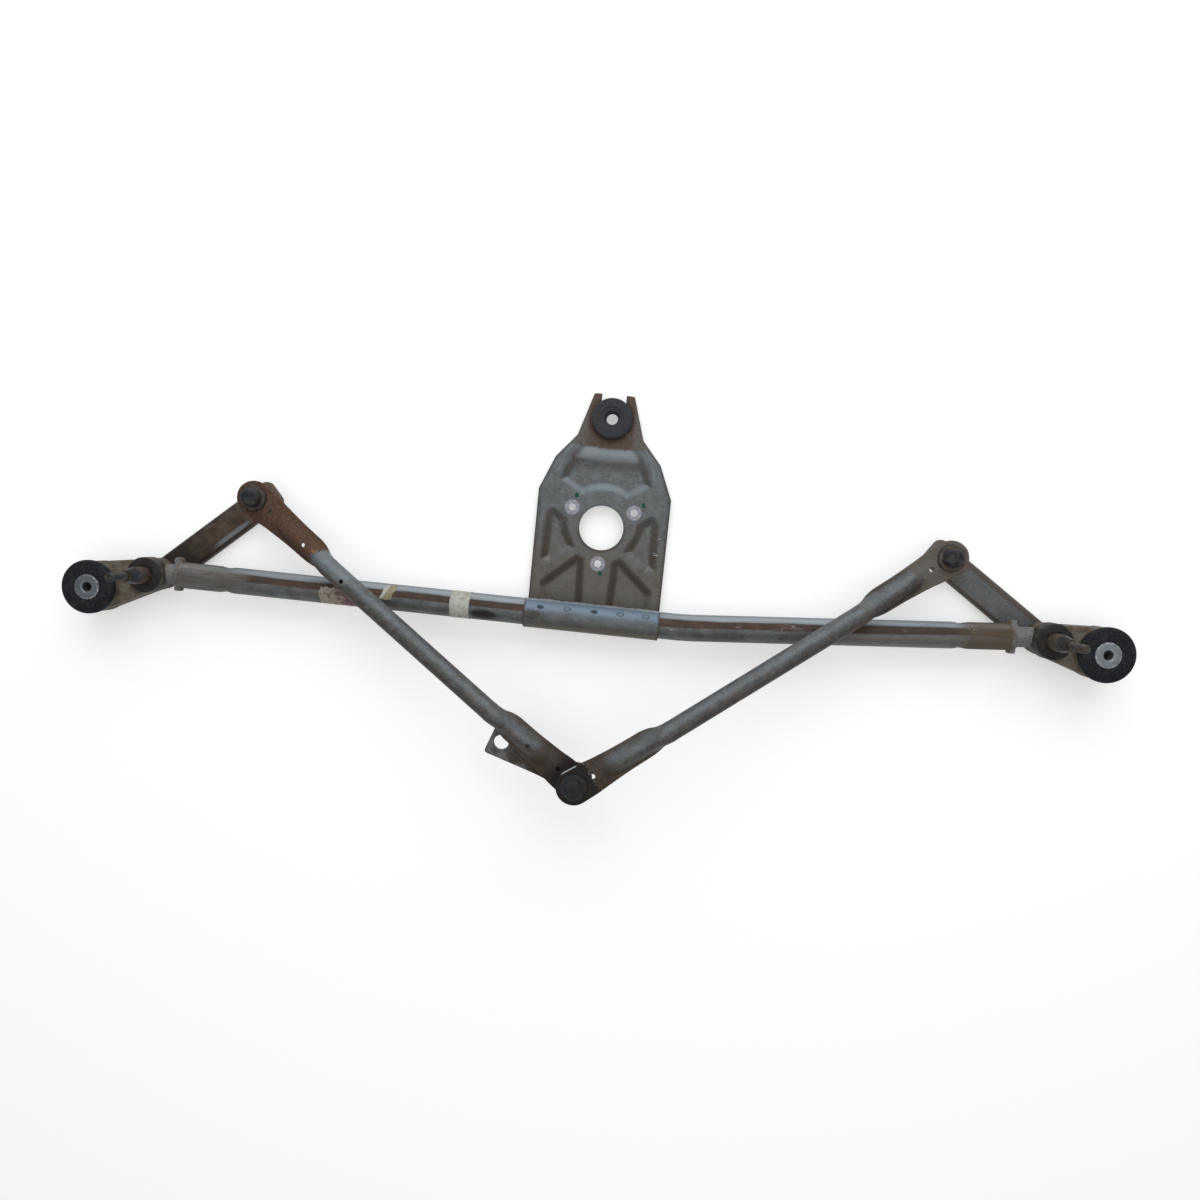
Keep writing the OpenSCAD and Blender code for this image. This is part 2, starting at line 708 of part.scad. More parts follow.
// Stations along a pressed end: distance from the ball, half width, bulge half width, bulge height,
// and how far the section has become a round tube
stations = [[8, 16, 5, 0.05, 0], [18, 15.2, 5.5, 0.05, 0], [27, 14.4, 6.5, 0.7, 0], [36, 13.6, 7.3, 4, 0],
    [48, 13, 7.8, 8, 0], [62, 12.6, 8, 10.5, 0], [86, 12.5, 8.2, 13, 0], [92, 11.6, 8.8, 15, 0.6],
    [tube_from - 3, rod_r, rod_r, rod_d, 1], [tube_from + 3, rod_r, rod_r, rod_d, 1]];

// Hat section of a pressed end, anticlockwise seen from its tube
function hat_section(half, bulge, rise) = [
    [half, flat_t - pad_step],
    for (k = [0:arc_steps]) let (a = 180 * k / arc_steps)
        [bulge * cos(a), flat_t - pad_step + rise * sin(a)],
    [-half, flat_t - pad_step], [-half, pad_step],
    for (k = [0:arc_steps]) let (a = 180 - 180 * k / arc_steps)
        [(bulge - 1) * cos(a), pad_step + rise * sin(a)],
    [half, pad_step]];
function round_section(r) = [for (a = [-20, for (k = [0:arc_steps]) 180 * k / arc_steps,
    200, 215, for (k = [0:arc_steps]) 230 + 80 * k / arc_steps, 325])
    [r * cos(a), tube_lift + rod_r + r * sin(a)]];
rod_swell = 0.3;
function section(s) = let (hat = hat_section(s[1], s[2], s[3]), tube = round_section(rod_r + rod_swell))
    [for (i = [0:len(hat) - 1]) hat[i] * (1 - s[4]) + tube[i] * s[4]];

module rod_end(slope) {
    loft([for (s = stations) [for (p = section(s)) [s[0], p.x, p.y + slope * max(s[0] - bend_at, 0)]]],
        folded = true);
    cylinder(r = eye_r, h = flat_t);
}

// The tube is hollow between its pressed ends. Its drain hole faces the front or, with drain_side = -1,
// the rear. Vents are holes through the front of the pressed ends.
module rod(length, rise, drain_side, vents = []) {
    slope = rise / (length - 2 * bend_at);
    tilt = atan(slope);
    socket_r = cup_d / 2 + seat;
    tooling_at = 20;
    plug = 8;
    tube_len = (length - 2 * tube_from) / cos(tilt);
    axis_z = slope * (tube_from - bend_at) + tube_lift + rod_r;
    color("#6f6c66") difference() {
        union() {
            rod_end(slope);
            translate([length, 0, rise]) mirror([1, 0, 0]) rod_end(-slope);
            translate([tube_from, 0, axis_z]) rotate([0, 90 - tilt, 0])
                cylinder(r = rod_r, h = tube_len);
        }
        translate([tube_from, 0, axis_z]) rotate([0, 90 - tilt, 0]) {
            translate([0, 0, plug]) cylinder(r = rod_r - rod_wall, h = tube_len - 2 * plug);
            translate([0, 0, drain_at - tube_from]) rotate([0, -90 * drain_side, 0])
                cylinder(d = drain_hole_d, h = rod_d);
        }
        for (x = [0, length]) translate([x, 0, (x > 0 ? rise : 0) - flat_t])
            cylinder(r = socket_r, h = 3 * flat_t);
        for (x = [tooling_at, length - tooling_at]) translate([x, 0, (x > tooling_at ? rise : 0) - flat_t])
            cylinder(d = tooling_hole_d, h = 3 * flat_t);
        for (x = vents) translate([x, 0, slope * (x - bend_at)]) cylinder(d = drain_hole_d, h = 2 * rod_d);
    }
}

// Ball sockets, on the ball's axis with Z = 0 on the front of the rod's flat

cup_r = cup_d / 2;
snap_r = cup_r + 1;
snap_h = 2;
cup_below = 4.5;
socket_edge = 0.8;
button_shoulder = 2.5;
// Cup, snap lip and flange; a closed socket also has its button
function socket_outline(closed) = let (
    flange_r = socket_flange_d / 2,
    button_r = button_d / 2,
    low = -ball_depth - cup_below,
    top = socket_flange + button_h) [
    [0, low], [cup_r - socket_edge, low], [cup_r, low + socket_edge],
    [snap_r, -flat_t - snap_h], [snap_r, -flat_t - seat], [cup_r, -flat_t - seat], [cup_r, seat],
    [flange_r, seat], [flange_r, socket_flange - socket_edge], [flange_r - socket_edge, socket_flange],
    each closed ? [[button_r, socket_flange], [button_r, top - button_shoulder],
        [button_r - socket_edge, top - socket_edge], [button_r - button_shoulder, top]] : [],
    [0, closed ? top : socket_flange]];

// The cup ends at depth below the flat
mouth_r = 5.8;
module socket(closed, cavity_r, depth) {
    color("#26292e") difference() {
        rotate_extrude() polygon(socket_outline(closed));
        translate([0, 0, -ball_depth]) {
            sphere(r = cavity_r);
            translate([0, 0, -2 * ball_depth]) cylinder(r = mouth_r, h = 2 * ball_depth);
            if (!closed) cylinder(r = mouth_r, h = 3 * ball_depth);
        }
        translate([0, 0, -depth - 2 * ball_depth]) cylinder(r = 2 * snap_r, h = 2 * ball_depth);
    }
}

// Crank, along X from its pin at 0

module crank() {
    corner = 3;
    foot = 0.6;
    tail = crank_len + crank_tail;
    waist_at = crank_len / 2;
    color("#6b6a66") translate([0, 0, crank_top - crank_t]) difference() {
        union() {
            cylinder(r = crank_pin_r, h = crank_t);
            linear_extrude(crank_t) polygon(rounded([
                [0, -crank_waist, foot], [waist_at, -crank_waist, corner], [tail, -crank_end, corner],
                [tail, crank_end, corner], [waist_at, crank_waist, corner], [0, crank_waist, foot]]));
        }
        translate([0, 0, -1]) cylinder(r = ball_stem_r + seat, h = crank_t + 2);
        translate([crank_len, 0, -1]) cylinder(d = crank_bore, h = crank_t + 2);
    }
}

top_neck_r = 3.3;
module double_ball_pin() {
    low = left_crank_flat - ball_depth;
    high = right_crank_flat - ball_depth;
    color("#8f8f8b") {
        rotate_extrude() polygon(stud_outline(crank_top, crank_t, low));
        translate([0, 0, low]) sphere(d = ball_d);
        translate([0, 0, low]) cylinder(r = top_neck_r, h = high - low);
        translate([0, 0, high]) sphere(d = top_ball_d);
    }
}

// Placed pieces

module left_housing() { at_left_end() housing(left_neck, left_mount_drop); }
module left_mount_rubber() { at_left_end() mount_rubber(left_mount_drop); }
module left_mount_sleeve() { at_left_end() mount_sleeve(left_mount_drop); }
module left_bushes() { at_left_end() bushes(left_neck); }
module left_boss_cap() { at_left_end() boss_cap(left_neck, left_mount_drop); }
module right_housing() { at_right_end() housing(right_neck, right_mount_drop); }
module right_mount_rubber() { at_right_end() mount_rubber(right_mount_drop); }
module right_mount_sleeve() { at_right_end() mount_sleeve(right_mount_drop); }
module right_bushes() { at_right_end() bushes(right_neck); }
module right_boss_cap() { at_right_end() boss_cap(right_neck, right_mount_drop); }

module left_spindle() { at(left_spindle_at) spindle(); }
module left_washers() { at(left_spindle_at) washers(); }
module left_circlip() { at(left_spindle_at) circlip(); }
module left_lever_arm() { at(left_spindle_at) rotate(left_lever_angle) lever(left_lever); }
module left_ball_stud() { at(left_spindle_at) rotate(left_lever_angle) ball_stud(left_lever); }
module right_spindle() { at(right_spindle_at) spindle(); }
module right_washers() { at(right_spindle_at) washers(); }
module right_circlip() { at(right_spindle_at) circlip(); }
module right_lever_arm() { at(right_spindle_at) rotate(right_lever_angle) lever(right_lever); }
module right_ball_stud() { at(right_spindle_at) rotate(right_lever_angle) ball_stud(right_lever); }

left_rod_angle = atan2(pin_at.y - left_ball.y, pin_at.x - left_ball.x);
right_rod_angle = atan2(pin_at.y - right_ball.y, pin_at.x - right_ball.x);
module left_rod() {
    at(left_ball, lever_flat - flat_t) rotate(left_rod_angle)
        rod(left_rod_len, left_crank_flat - lever_flat, 1, [lever_vent, left_rod_len - crank_vent]);
}
module right_rod() {
    at(right_ball, lever_flat - flat_t) rotate(right_rod_angle)
        rod(right_rod_len, right_crank_flat - lever_flat, -1);
}

// The upper cup on the crank pin is short, so that it clears the lower socket, and wide round its ball
cavity_r = ball_d / 2 + running;
cup_depth = ball_depth + cup_below;
short_cup_depth = stack_step - socket_flange - 0.8;
module left_lever_socket() { at(left_ball, lever_flat) socket(true, cavity_r, cup_depth); }
module right_lever_socket() { at(right_ball, lever_flat) socket(true, cavity_r, cup_depth); }
module left_crank_socket() { at(pin_at, left_crank_flat) socket(false, cavity_r, cup_depth); }
module right_crank_socket() {
    at(pin_at, right_crank_flat) socket(true, top_ball_d / 2 + open_pivot, short_cup_depth);
}

module crank_arm() { at(pin_at) rotate(crank_angle) crank(); }
module crank_pin() { at(pin_at) double_ball_pin(); }

frame_tube();
motor_plate();
plate_grommet();
left_housing();
left_mount_rubber();
left_mount_sleeve();
left_bushes();
left_boss_cap();
right_housing();
right_mount_rubber();
right_mount_sleeve();
right_bushes();
right_boss_cap();
left_spindle();
left_washers();
left_circlip();
left_lever_arm();
left_ball_stud();
right_spindle();
right_washers();
right_circlip();
right_lever_arm();
right_ball_stud();
left_rod();
left_lever_socket();
left_crank_socket();
right_rod();
right_lever_socket();
right_crank_socket();
crank_arm();
crank_pin();
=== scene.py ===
"""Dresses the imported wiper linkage: worn steel tube, pressed plate, cast ends, levers, rods, crank and stage."""

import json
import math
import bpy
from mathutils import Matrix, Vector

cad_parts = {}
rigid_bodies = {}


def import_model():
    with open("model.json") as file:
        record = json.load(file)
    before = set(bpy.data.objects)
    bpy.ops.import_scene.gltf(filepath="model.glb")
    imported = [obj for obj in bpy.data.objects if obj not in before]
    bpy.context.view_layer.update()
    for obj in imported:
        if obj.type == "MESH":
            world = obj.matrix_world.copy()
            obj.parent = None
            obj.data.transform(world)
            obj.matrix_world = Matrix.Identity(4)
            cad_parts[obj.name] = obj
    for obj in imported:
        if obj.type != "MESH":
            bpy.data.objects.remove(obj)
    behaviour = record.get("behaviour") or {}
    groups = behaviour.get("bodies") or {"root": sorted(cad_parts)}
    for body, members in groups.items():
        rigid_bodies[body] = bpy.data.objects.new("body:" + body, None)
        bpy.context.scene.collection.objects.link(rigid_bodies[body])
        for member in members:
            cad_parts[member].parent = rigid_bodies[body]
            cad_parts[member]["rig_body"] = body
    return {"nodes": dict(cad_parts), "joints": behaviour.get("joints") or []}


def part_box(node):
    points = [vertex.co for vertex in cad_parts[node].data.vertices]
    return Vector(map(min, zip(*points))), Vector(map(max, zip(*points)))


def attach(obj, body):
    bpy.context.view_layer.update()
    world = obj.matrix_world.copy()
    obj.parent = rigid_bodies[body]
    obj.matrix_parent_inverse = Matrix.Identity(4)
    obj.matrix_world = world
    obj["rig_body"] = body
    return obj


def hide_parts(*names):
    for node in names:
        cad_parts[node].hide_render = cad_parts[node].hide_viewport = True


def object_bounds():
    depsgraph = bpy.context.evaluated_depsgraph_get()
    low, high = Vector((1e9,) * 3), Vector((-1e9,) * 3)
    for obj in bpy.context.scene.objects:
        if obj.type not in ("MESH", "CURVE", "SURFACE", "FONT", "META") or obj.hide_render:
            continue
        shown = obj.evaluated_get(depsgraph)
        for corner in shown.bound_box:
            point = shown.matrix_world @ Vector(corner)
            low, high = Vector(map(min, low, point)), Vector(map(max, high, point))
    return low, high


bl_info = {
    "name": "Wiper linkage dresser",
    "version": (1, 0, 0),
    "blender": (4, 5, 0),
    "location": "View3D > Sidebar > Wiper linkage",
    "description": "Builds the visible pieces of a used wiper linkage over its packed solids",
    "category": "Object",
}

import bmesh
import bpy
from bpy.props import FloatProperty, FloatVectorProperty, IntProperty, PointerProperty
from bpy.types import Operator, Panel, PropertyGroup
from mathutils import Euler, Matrix, Vector

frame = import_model()
cad_low, cad_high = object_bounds()

# Shapes are worked out in millimetres and scaled to metres when a piece is finished
MM = 0.001


def screen_colour(red, green, blue):
    """Scene colour of a screen colour given as 0 to 255."""
    parts = [value / 255 for value in (red, green, blue)]
    return tuple(((p + 0.055) / 1.055) ** 2.4 if p > 0.04 else p / 12.92 for p in parts)


def length(name, description, millimetres):
    return FloatProperty(name=name, description=description, default=millimetres * MM, min=0.0, subtype="DISTANCE",
                         unit="LENGTH", precision=4)


def colour(name, description, *screen):
    return FloatVectorProperty(name=name, description=description, default=screen_colour(*screen), size=3, min=0.0,
                               max=1.0, subtype="COLOR")


def joint_place(name):
    """Place of a joint at rest, in millimetres."""
    return Vector(next(j for j in frame["joints"] if j["name"] == name)["pos_m"]) / MM


def node_box(name):
    low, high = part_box(name)
    return low / MM, high / MM


# Places that several pieces share
LEFT_SPINDLE = joint_place("left_rocker_swing")
RIGHT_SPINDLE = joint_place("right_rocker_swing")
LEFT_BALL = joint_place("left_link_swing")
RIGHT_BALL = joint_place("right_link_swing")
CRANK_PIN = joint_place("crank_turn")
TUBE_Y = -85.0
TUBE_Z = 12.5
TUBE_LEFT = -393.0
BEND_FROM = 75.0
BEND_R = 300.0
BEND_ANGLE = math.radians(4.5)
TUBE_RIGHT = 285.4
CUP_REACH = 11.5
BUTTON_REACH = 11.0
LEVER_TOP = node_box("left_lever_arm")[1].z
LEVER_FLAT = node_box("left_lever_socket")[0].z + CUP_REACH
LEFT_CRANK_FLAT = node_box("left_crank_socket")[0].z + CUP_REACH
RIGHT_CRANK_FLAT = node_box("right_crank_socket")[1].z - BUTTON_REACH
BOLTS = [(29.445, 17.0), (-29.445, 17.0), (0.0, -34.0)]
GROMMET_Y = 102.4


class LinkageShapes(PropertyGroup):
    """Sizes of the pieces that are built here."""
    tube_d: length("Tube diameter", "Outside diameter of the carrier tube", 25)
    tube_wall: length("Tube wall", "Wall of the carrier tube", 1.5)
    crimp_depth: length("Crimp depth", "Depth of the dents that hold the tube on its housings", 1.2)
    sheet: length("Plate sheet", "Thickness of the motor plate", 2)
    rim_r: length("Rim radius", "Radius of the plate's turned-back edge", 5)
    rim_depth: length("Rim depth", "Depth of the plate's turned-back rim", 12)
    pocket_depth: length("Pocket depth", "Depth of the plate's pressed pockets", 2.5)
    pocket_slope: length("Pocket slope", "Width of the pockets' sloping walls", 9)
    # The dirt reach also sets the width of the painted shade and painted highlights along the pockets' edges
    shade_and_dirt_reach: length("Dirt reach", "Half the width of the dirt along the pockets' edges", 5.5)
    motor_hole_d: length("Motor hole", "Diameter of the motor hole", 42)
    bolt_hole_d: length("Bolt holes", "Diameter of the motor bolt holes", 6.8)
    slot_w: length("Fork slot", "Width of the slot for the grommet", 23)
    stake_depth: length("Stake depth", "Depth of the stake marks in the wrap", 0.8)
    lever_w: length("Lever width", "Width of the levers", 28)
    lever_t: length("Lever sheet", "Thickness of the levers", 3)
    lever_rim: length("Lever rim", "Depth of the levers' turned-back edge", 8)
    rod_d: length("Rod diameter", "Diameter of the push rods' tube", 18.4)
    rod_wall: length("Rod wall", "Wall of the push rods' tube", 1.5)
    flat_t: length("Rod flat", "Thickness of the push rods' flats", 2.5)
    eye_r: length("Rod eye", "Radius of the push rods' round ends", 16.2)
    thread_pitch: length("Thread pitch", "Pitch of the spindles' thread", 1.25)
    thread_depth: length("Thread depth", "Depth of the spindles' thread", 0.45)
    tooth_depth: length("Serration depth", "Depth of the serrations on the taper", 0.6)
    teeth: IntProperty(name="Serrations", description="Number of serrations round the taper", default=40, min=12,
                       max=72)
    cast_grain: length("Casting mesh", "Mesh size of the cast housings", 0.9)
    edge_round: length("Edge rounding", "Rounding of the moulded and turned edges", 0.5)
    paper_t: length("Paper thickness", "Thickness of the paper scraps on the tube", 0.25)


class LinkageColours(PropertyGroup):
    """Colours of the finishes."""
    # The light zinc colour also serves for painted highlights
    zinc_light: colour("Zinc, light", "Clean zinc coat", 126, 134, 140)
    # The bluish zinc colour is a painted sky reflection
    sky_reflection_blue: colour("Zinc, bluish", "Zinc coat that takes the sky", 108, 124, 138)
    zinc: colour("Zinc", "Dull zinc coat", 104, 108, 110)
    # The dark zinc colour also serves for painted shade in the sleeves' bores and a greyish painted highlight on the
    # left lever
    zinc_dark: colour("Zinc, dark", "Dark zinc coat", 76, 78, 78)
    mud: colour("Road dirt", "Brown road dirt", 98, 86, 72)
    # The dark road dirt colour also serves for painted shade
    dark_dirt_and_shade: colour("Road dirt, dark", "Dark road dirt in corners", 62, 51, 41)
    rust: colour("Rust", "Brown rust", 98, 69, 52)
    rust_dark: colour("Rust, dark", "Dark rust", 64, 46, 37)
    rust_bright: colour("Rust, bright", "Fresh orange rust", 146, 100, 58)
    cast: colour("Cast alloy", "Dirty cast alloy", 114, 106, 95)
    # The bare metal colour also serves for painted glints and highlights
    bright: colour("Bare metal", "Metal rubbed bare", 190, 194, 199)
    sleeve: colour("Sleeve alloy", "Turned alloy of the mount sleeves", 122, 130, 140)
    seat: colour("Bolt seat", "Flaked coat round the bolt holes", 178, 178, 192)
    rubber: colour("Rubber", "Black rubber", 16, 16, 20)
    grommet: colour("Grommet", "Bluish black rubber of the grommet", 48, 52, 60)
    cap: colour("Cap plastic", "Dark brown plastic of the boss caps", 54, 51, 48)
    plastic: colour("Plastic", "Black moulded plastic", 37, 41, 46)
    dust: colour("Dust", "Dust on rubber and plastic", 92, 86, 78)
    grease: colour("Grease", "Black joint grease", 32, 28, 26)
    paint_dot: colour("Paint dot", "Green dots of marking paint", 12, 74, 60)
    paper: colour("Paper", "Old paper", 186, 186, 176)
    tape: colour("Tape", "Yellowed tape", 150, 143, 112)
    label: colour("Label", "Worn label stock", 104, 60, 80)
    bush: colour("Bush metal", "Sintered bush metal", 140, 122, 82)


class LinkageStage(PropertyGroup):
    """Camera, lamps and floor."""
    lens: FloatProperty(name="Lens", description="Focal length of the camera on a 36 mm sensor", default=26.31,
                        min=10.0, unit="CAMERA")
    camera_place: FloatVectorProperty(name="Camera place", description="Where the camera stands",
                                      default=(0.03778, -0.00761, 0.83219), size=3, subtype="TRANSLATION",
                                      unit="LENGTH")
    camera_turn: FloatVectorProperty(name="Camera turn", description="How the camera is turned",
                                     default=tuple(math.radians(a) for a in (-3.90974, 2.61145, 5.8)), size=3,
                                     subtype="EULER", unit="ROTATION")
    sky_power: FloatProperty(name="Sky light", description="Power of the large cool lamp", default=20.0, min=0.0,
                             unit="POWER")
    top_power: FloatProperty(name="Top light", description="Power of the soft lamp overhead", default=8.0, min=0.0,
                             unit="POWER")
    world_level: FloatProperty(name="World", description="Strength of the surrounding light", default=0.35, min=0.0)
    floor: colour("Floor", "Colour of the floor", 231, 231, 231)
    floor_lift: FloatProperty(name="Floor lift", description="Light the floor gives to the camera", default=0.4,
                              min=0.0)


def shapes():
    return bpy.context.scene.linkage_shapes


def colours():
    return bpy.context.scene.linkage_colours


def mm(metres):
    return metres / MM


# Shading


class Shade:
    """A value of a finish. Arithmetic on it adds Math nodes."""

    def __init__(self, finish, socket):
        self.finish = finish
        self.socket = socket

    def math(self, operation, first, second):
        return self.finish.node("ShaderNodeMath", {"operation": operation}, {0: first, 1: second})

    def __add__(self, other):
        return self.math("ADD", self, other)

    def __radd__(self, other):
        return self.math("ADD", other, self)

    def __sub__(self, other):
        return self.math("SUBTRACT", self, other)

    def __rsub__(self, other):
        return self.math("SUBTRACT", other, self)

    def __mul__(self, other):
        return self.math("MULTIPLY", self, other)

    def __rmul__(self, other):
        return self.math("MULTIPLY", other, self)

    def __truediv__(self, other):
        return self.math("DIVIDE", self, other)

    def __rtruediv__(self, other):
        return self.math("DIVIDE", other, self)

    def __pow__(self, other):
        return self.math("POWER", self, other)

    def __rpow__(self, other):
        return self.math("POWER", other, self)

    def __abs__(self):
        return self.math("ABSOLUTE", self, 0.0)

    def most(self, other):
        return self.math("MAXIMUM", self, other)

    def least(self, other):
        return self.math("MINIMUM", self, other)


class Finish:
    """A node material on Object coordinates, in millimetres."""

    def __init__(self, name):
        self.material = bpy.data.materials.new(name)
        self.material.use_nodes = True
        self.tree = self.material.node_tree
        self.tree.nodes.clear()
        self.shader = self.tree.nodes.new("ShaderNodeBsdfPrincipled")
        output = self.tree.nodes.new("ShaderNodeOutputMaterial")
        self.tree.links.new(self.shader.outputs[0], output.inputs["Surface"])
        objects = self.node("ShaderNodeTexCoord", output="Object")
        self.place = self.node("ShaderNodeVectorMath", {"operation": "SCALE"}, {0: objects, "Scale": 1 / MM})

    def node(self, kind, settings=None, inputs=None, output=0):
        """Adds a node of that type, sets it, feeds its sockets and gives one of its outputs."""
        made = self.tree.nodes.new(kind)
        for key, value in (settings or {}).items():
            setattr(made, key, value)
        for key, value in (inputs or {}).items():
            self.feed(made.inputs[key], value)
        return Shade(self, made.outputs[output])

    def feed(self, socket, value):
        if isinstance(value, Shade):
            self.tree.links.new(value.socket, socket)
        elif socket.type == "RGBA" and len(value) == 3:
            socket.default_value = (*value, 1.0)
        else:
            socket.default_value = value

    def part(self, axis):
        return self.node("ShaderNodeSeparateXYZ", inputs={0: self.place}, output=axis)

    def dot(self, origin, direction):
        """Distance along a direction from a place."""
        moved = self.node("ShaderNodeVectorMath", {"operation": "SUBTRACT"}, {0: self.place, 1: origin})
        return self.node("ShaderNodeVectorMath", {"operation": "DOT_PRODUCT"}, {0: moved, 1: direction},
                         output="Value")

    def distance(self, x, y, stretch=(1.0, 1.0)):
        """Distance in the XY plane from a place."""
        moved = self.node("ShaderNodeVectorMath", {"operation": "SUBTRACT"}, {0: self.place, 1: (x, y, 0.0)})
        flat = self.node("ShaderNodeVectorMath", {"operation": "MULTIPLY"}, {0: moved, 1: (*stretch, 0.0)})
        return self.node("ShaderNodeVectorMath", {"operation": "LENGTH"}, {0: flat}, output="Value")

    def noise(self, size, detail=3.0, rough=0.55, stretch=None, twist=0.0):
        """Noise whose blots are about size across; stretch scales the place first."""
        vector = self.place
        if stretch:
            vector = self.node("ShaderNodeVectorMath", {"operation": "MULTIPLY"}, {0: vector, 1: stretch})
        return self.node("ShaderNodeTexNoise", inputs={"Vector": vector, "Scale": 1 / size, "Detail": detail,
                                                       "Roughness": rough, "Distortion": twist})

    def step(self, value, low, high):
        """0 below low, 1 above high, smooth between."""
        return self.node("ShaderNodeMapRange", {"interpolation_type": "SMOOTHSTEP"},
                         {"Value": value, "From Min": low, "From Max": high})

    def drop(self, value, low, high):
        """1 below low, 0 above high, smooth between."""
        return self.node("ShaderNodeMapRange", {"interpolation_type": "SMOOTHSTEP"},
                         {"Value": value, "From Min": low, "From Max": high, "To Min": 1.0, "To Max": 0.0})

    def band(self, value, low, high, soft):
        return self.step(value, low - soft, low + soft) * self.drop(value, high - soft, high + soft)

    def mix(self, factor, below, above):
        return self.node("ShaderNodeMix", {"data_type": "RGBA"}, {0: factor, 6: below, 7: above}, output=2)

    def finish(self, base, roughness, metallic, bump=None, height=0.1, specular=0.3):
        self.shader.inputs["Specular IOR Level"].default_value = specular
        self.feed(self.shader.inputs["Base Color"], base)
        self.feed(self.shader.inputs["Roughness"], roughness)
        self.feed(self.shader.inputs["Metallic"], metallic)
        if bump is not None:
            normal = self.node("ShaderNodeBump", inputs={"Strength": 1.0, "Distance": height * MM, "Height": bump})
            self.feed(self.shader.inputs["Normal"], normal)
        return self.material


def blend(first, second, share):
    """A colour between two colours."""
    return tuple(a + (b - a) * share for a, b in zip(first, second))


def cloudy(finish, light, dark, size=10):
    """Cloudy metal coat with fine specks: the colour, and the specks for roughness and bump."""
    tint = colours()
    cloud = finish.noise(size, 4)
    grain = finish.noise(1.9, 3)
    speck = finish.noise(0.7, 2)
    coat = finish.mix(finish.step(cloud, 0.36, 0.64), dark, light)
    coat = finish.mix(finish.step(grain, 0.52, 0.68) * 0.32, coat, tint.zinc_dark)
    coat = finish.mix(finish.step(speck, 0.56, 0.74) * 0.35, coat, tint.zinc_dark)
    coat = finish.mix(finish.drop(speck, 0.3, 0.44) * 0.22, coat, tint.bright)
    return coat, speck


# Mesh helpers


def smooth_step(low, high, value):
    t = min(max((value - low) / (high - low), 0.0), 1.0)
    return t * t * (3 - 2 * t)


def depth_inside(x, y, corners):
    """Distance from a point to the outline of a polygon, negative outside."""
    nearest = 1e9
    inside = False
    for (ax, ay), (bx, by) in zip(corners, corners[1:] + corners[:1]):
        dx, dy = bx - ax, by - ay
        t = min(max(((x - ax) * dx + (y - ay) * dy) / (dx * dx + dy * dy), 0.0), 1.0)
        nearest = min(nearest, math.hypot(x - ax - t * dx, y - ay - t * dy))
        if (ay > y) != (by > y) and x < ax + (y - ay) * dx / dy:
            inside = not inside
    return nearest if inside else -nearest


def extrude_row(bm, verts, edges):
    """Extrudes a chain of edges and gives the new vertices in the order of the old, and the new edges."""
    made = bmesh.ops.extrude_edge_only(bm, edges=edges)["geom"]
    fresh = {g for g in made if isinstance(g, bmesh.types.BMVert)}
    row = [next(e.other_vert(v) for e in v.link_edges if e.other_vert(v) in fresh) for v in verts]
    return row, [g for g in made if isinstance(g, bmesh.types.BMEdge) and g.verts[0] in fresh and g.verts[1] in fresh]


def sweep(bm, rings, closed=True):
    """Skins like rows of points by extruding the first from row to row. Gives the rows of vertices."""
    row = [bm.verts.new(p) for p in rings[0]]
    pairs = list(zip(row, row[1:])) + ([(row[-1], row[0])] if closed else [])
    edges = [bm.edges.new(pair) for pair in pairs]
    rows = [row]
    for ring in rings[1:]:
        row, edges = extrude_row(bm, row, edges)
        for vert, place in zip(row, ring):
            vert.co = place
        rows.append(row)
    return rows


def close_ends(bm, rows):
    bmesh.ops.contextual_create(bm, geom=rows[0])
    bmesh.ops.contextual_create(bm, geom=rows[-1])
    bmesh.ops.recalc_face_normals(bm, faces=bm.faces[:])


def link_blank(bm):
    """Holds a bmesh in a scene object for a modifier."""
    mesh = bpy.data.meshes.new("blank")
    bm.to_mesh(mesh)
    holder = bpy.data.objects.new("blank", mesh)
    bpy.context.scene.collection.objects.link(holder)
    return holder


def drop_blank(holder):
    mesh = holder.data
    bpy.data.objects.remove(holder)
    bpy.data.meshes.remove(mesh)


def modified(holder):
    """A bmesh of an object with its modifiers."""
    bpy.context.view_layer.update()
    made = bmesh.new()
    made.from_object(holder, bpy.context.evaluated_depsgraph_get())
    return made


def cut_away(bm, cutter):
    """Gives bm with the closed shells of cutter taken out of it."""
    holder = link_blank(bm)
    tool = link_blank(cutter)
    cut = holder.modifiers.new("cut", "BOOLEAN")
    cut.operation = "DIFFERENCE"
    cut.solver = "EXACT"
    cut.object = tool
    made = modified(holder)
    drop_blank(holder)
    drop_blank(tool)
    bm.free()
    cutter.free()
    return made


def add_cylinder(bm, place, axis, radius, depth, segments=48):
    """Adds a closed cylinder centred on a place."""
    turn = Vector(axis).to_track_quat("Z", "Y").to_matrix().to_4x4()
    bmesh.ops.create_cone(bm, cap_ends=True, segments=segments, radius1=radius, radius2=radius, depth=depth,
                          matrix=Matrix.Translation(place) @ turn)


def join(bm, other):
    """Adds the shells of another bmesh."""
    mesh = bpy.data.meshes.new("joined")
    other.to_mesh(mesh)
    other.free()
    bm.from_mesh(mesh)
    bpy.data.meshes.remove(mesh)


def shade_edges(bm, angle=35):
    for face in bm.faces:
        face.smooth = True
    for edge in bm.edges:
        edge.smooth = not (len(edge.link_faces) == 2 and edge.calc_face_angle(0.0) > math.radians(angle))


def finish_piece(name, bm, body, material, replaced=(), angle=35):
    """Scales a bmesh to metres and makes it a piece that rides on a body."""
    shade_edges(bm, angle)
    bmesh.ops.scale(bm, vec=(MM, MM, MM), verts=bm.verts)
    mesh = bpy.data.meshes.new(name)
    bm.to_mesh(mesh)
    bm.free()
    mesh.materials.append(material)
    piece = bpy.data.objects.new(name, mesh)
    bpy.context.scene.collection.objects.link(piece)
    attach(piece, body)
    if replaced:
        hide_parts(*replaced)
    return piece


def body_of(node):
    return frame["nodes"][node]["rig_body"]


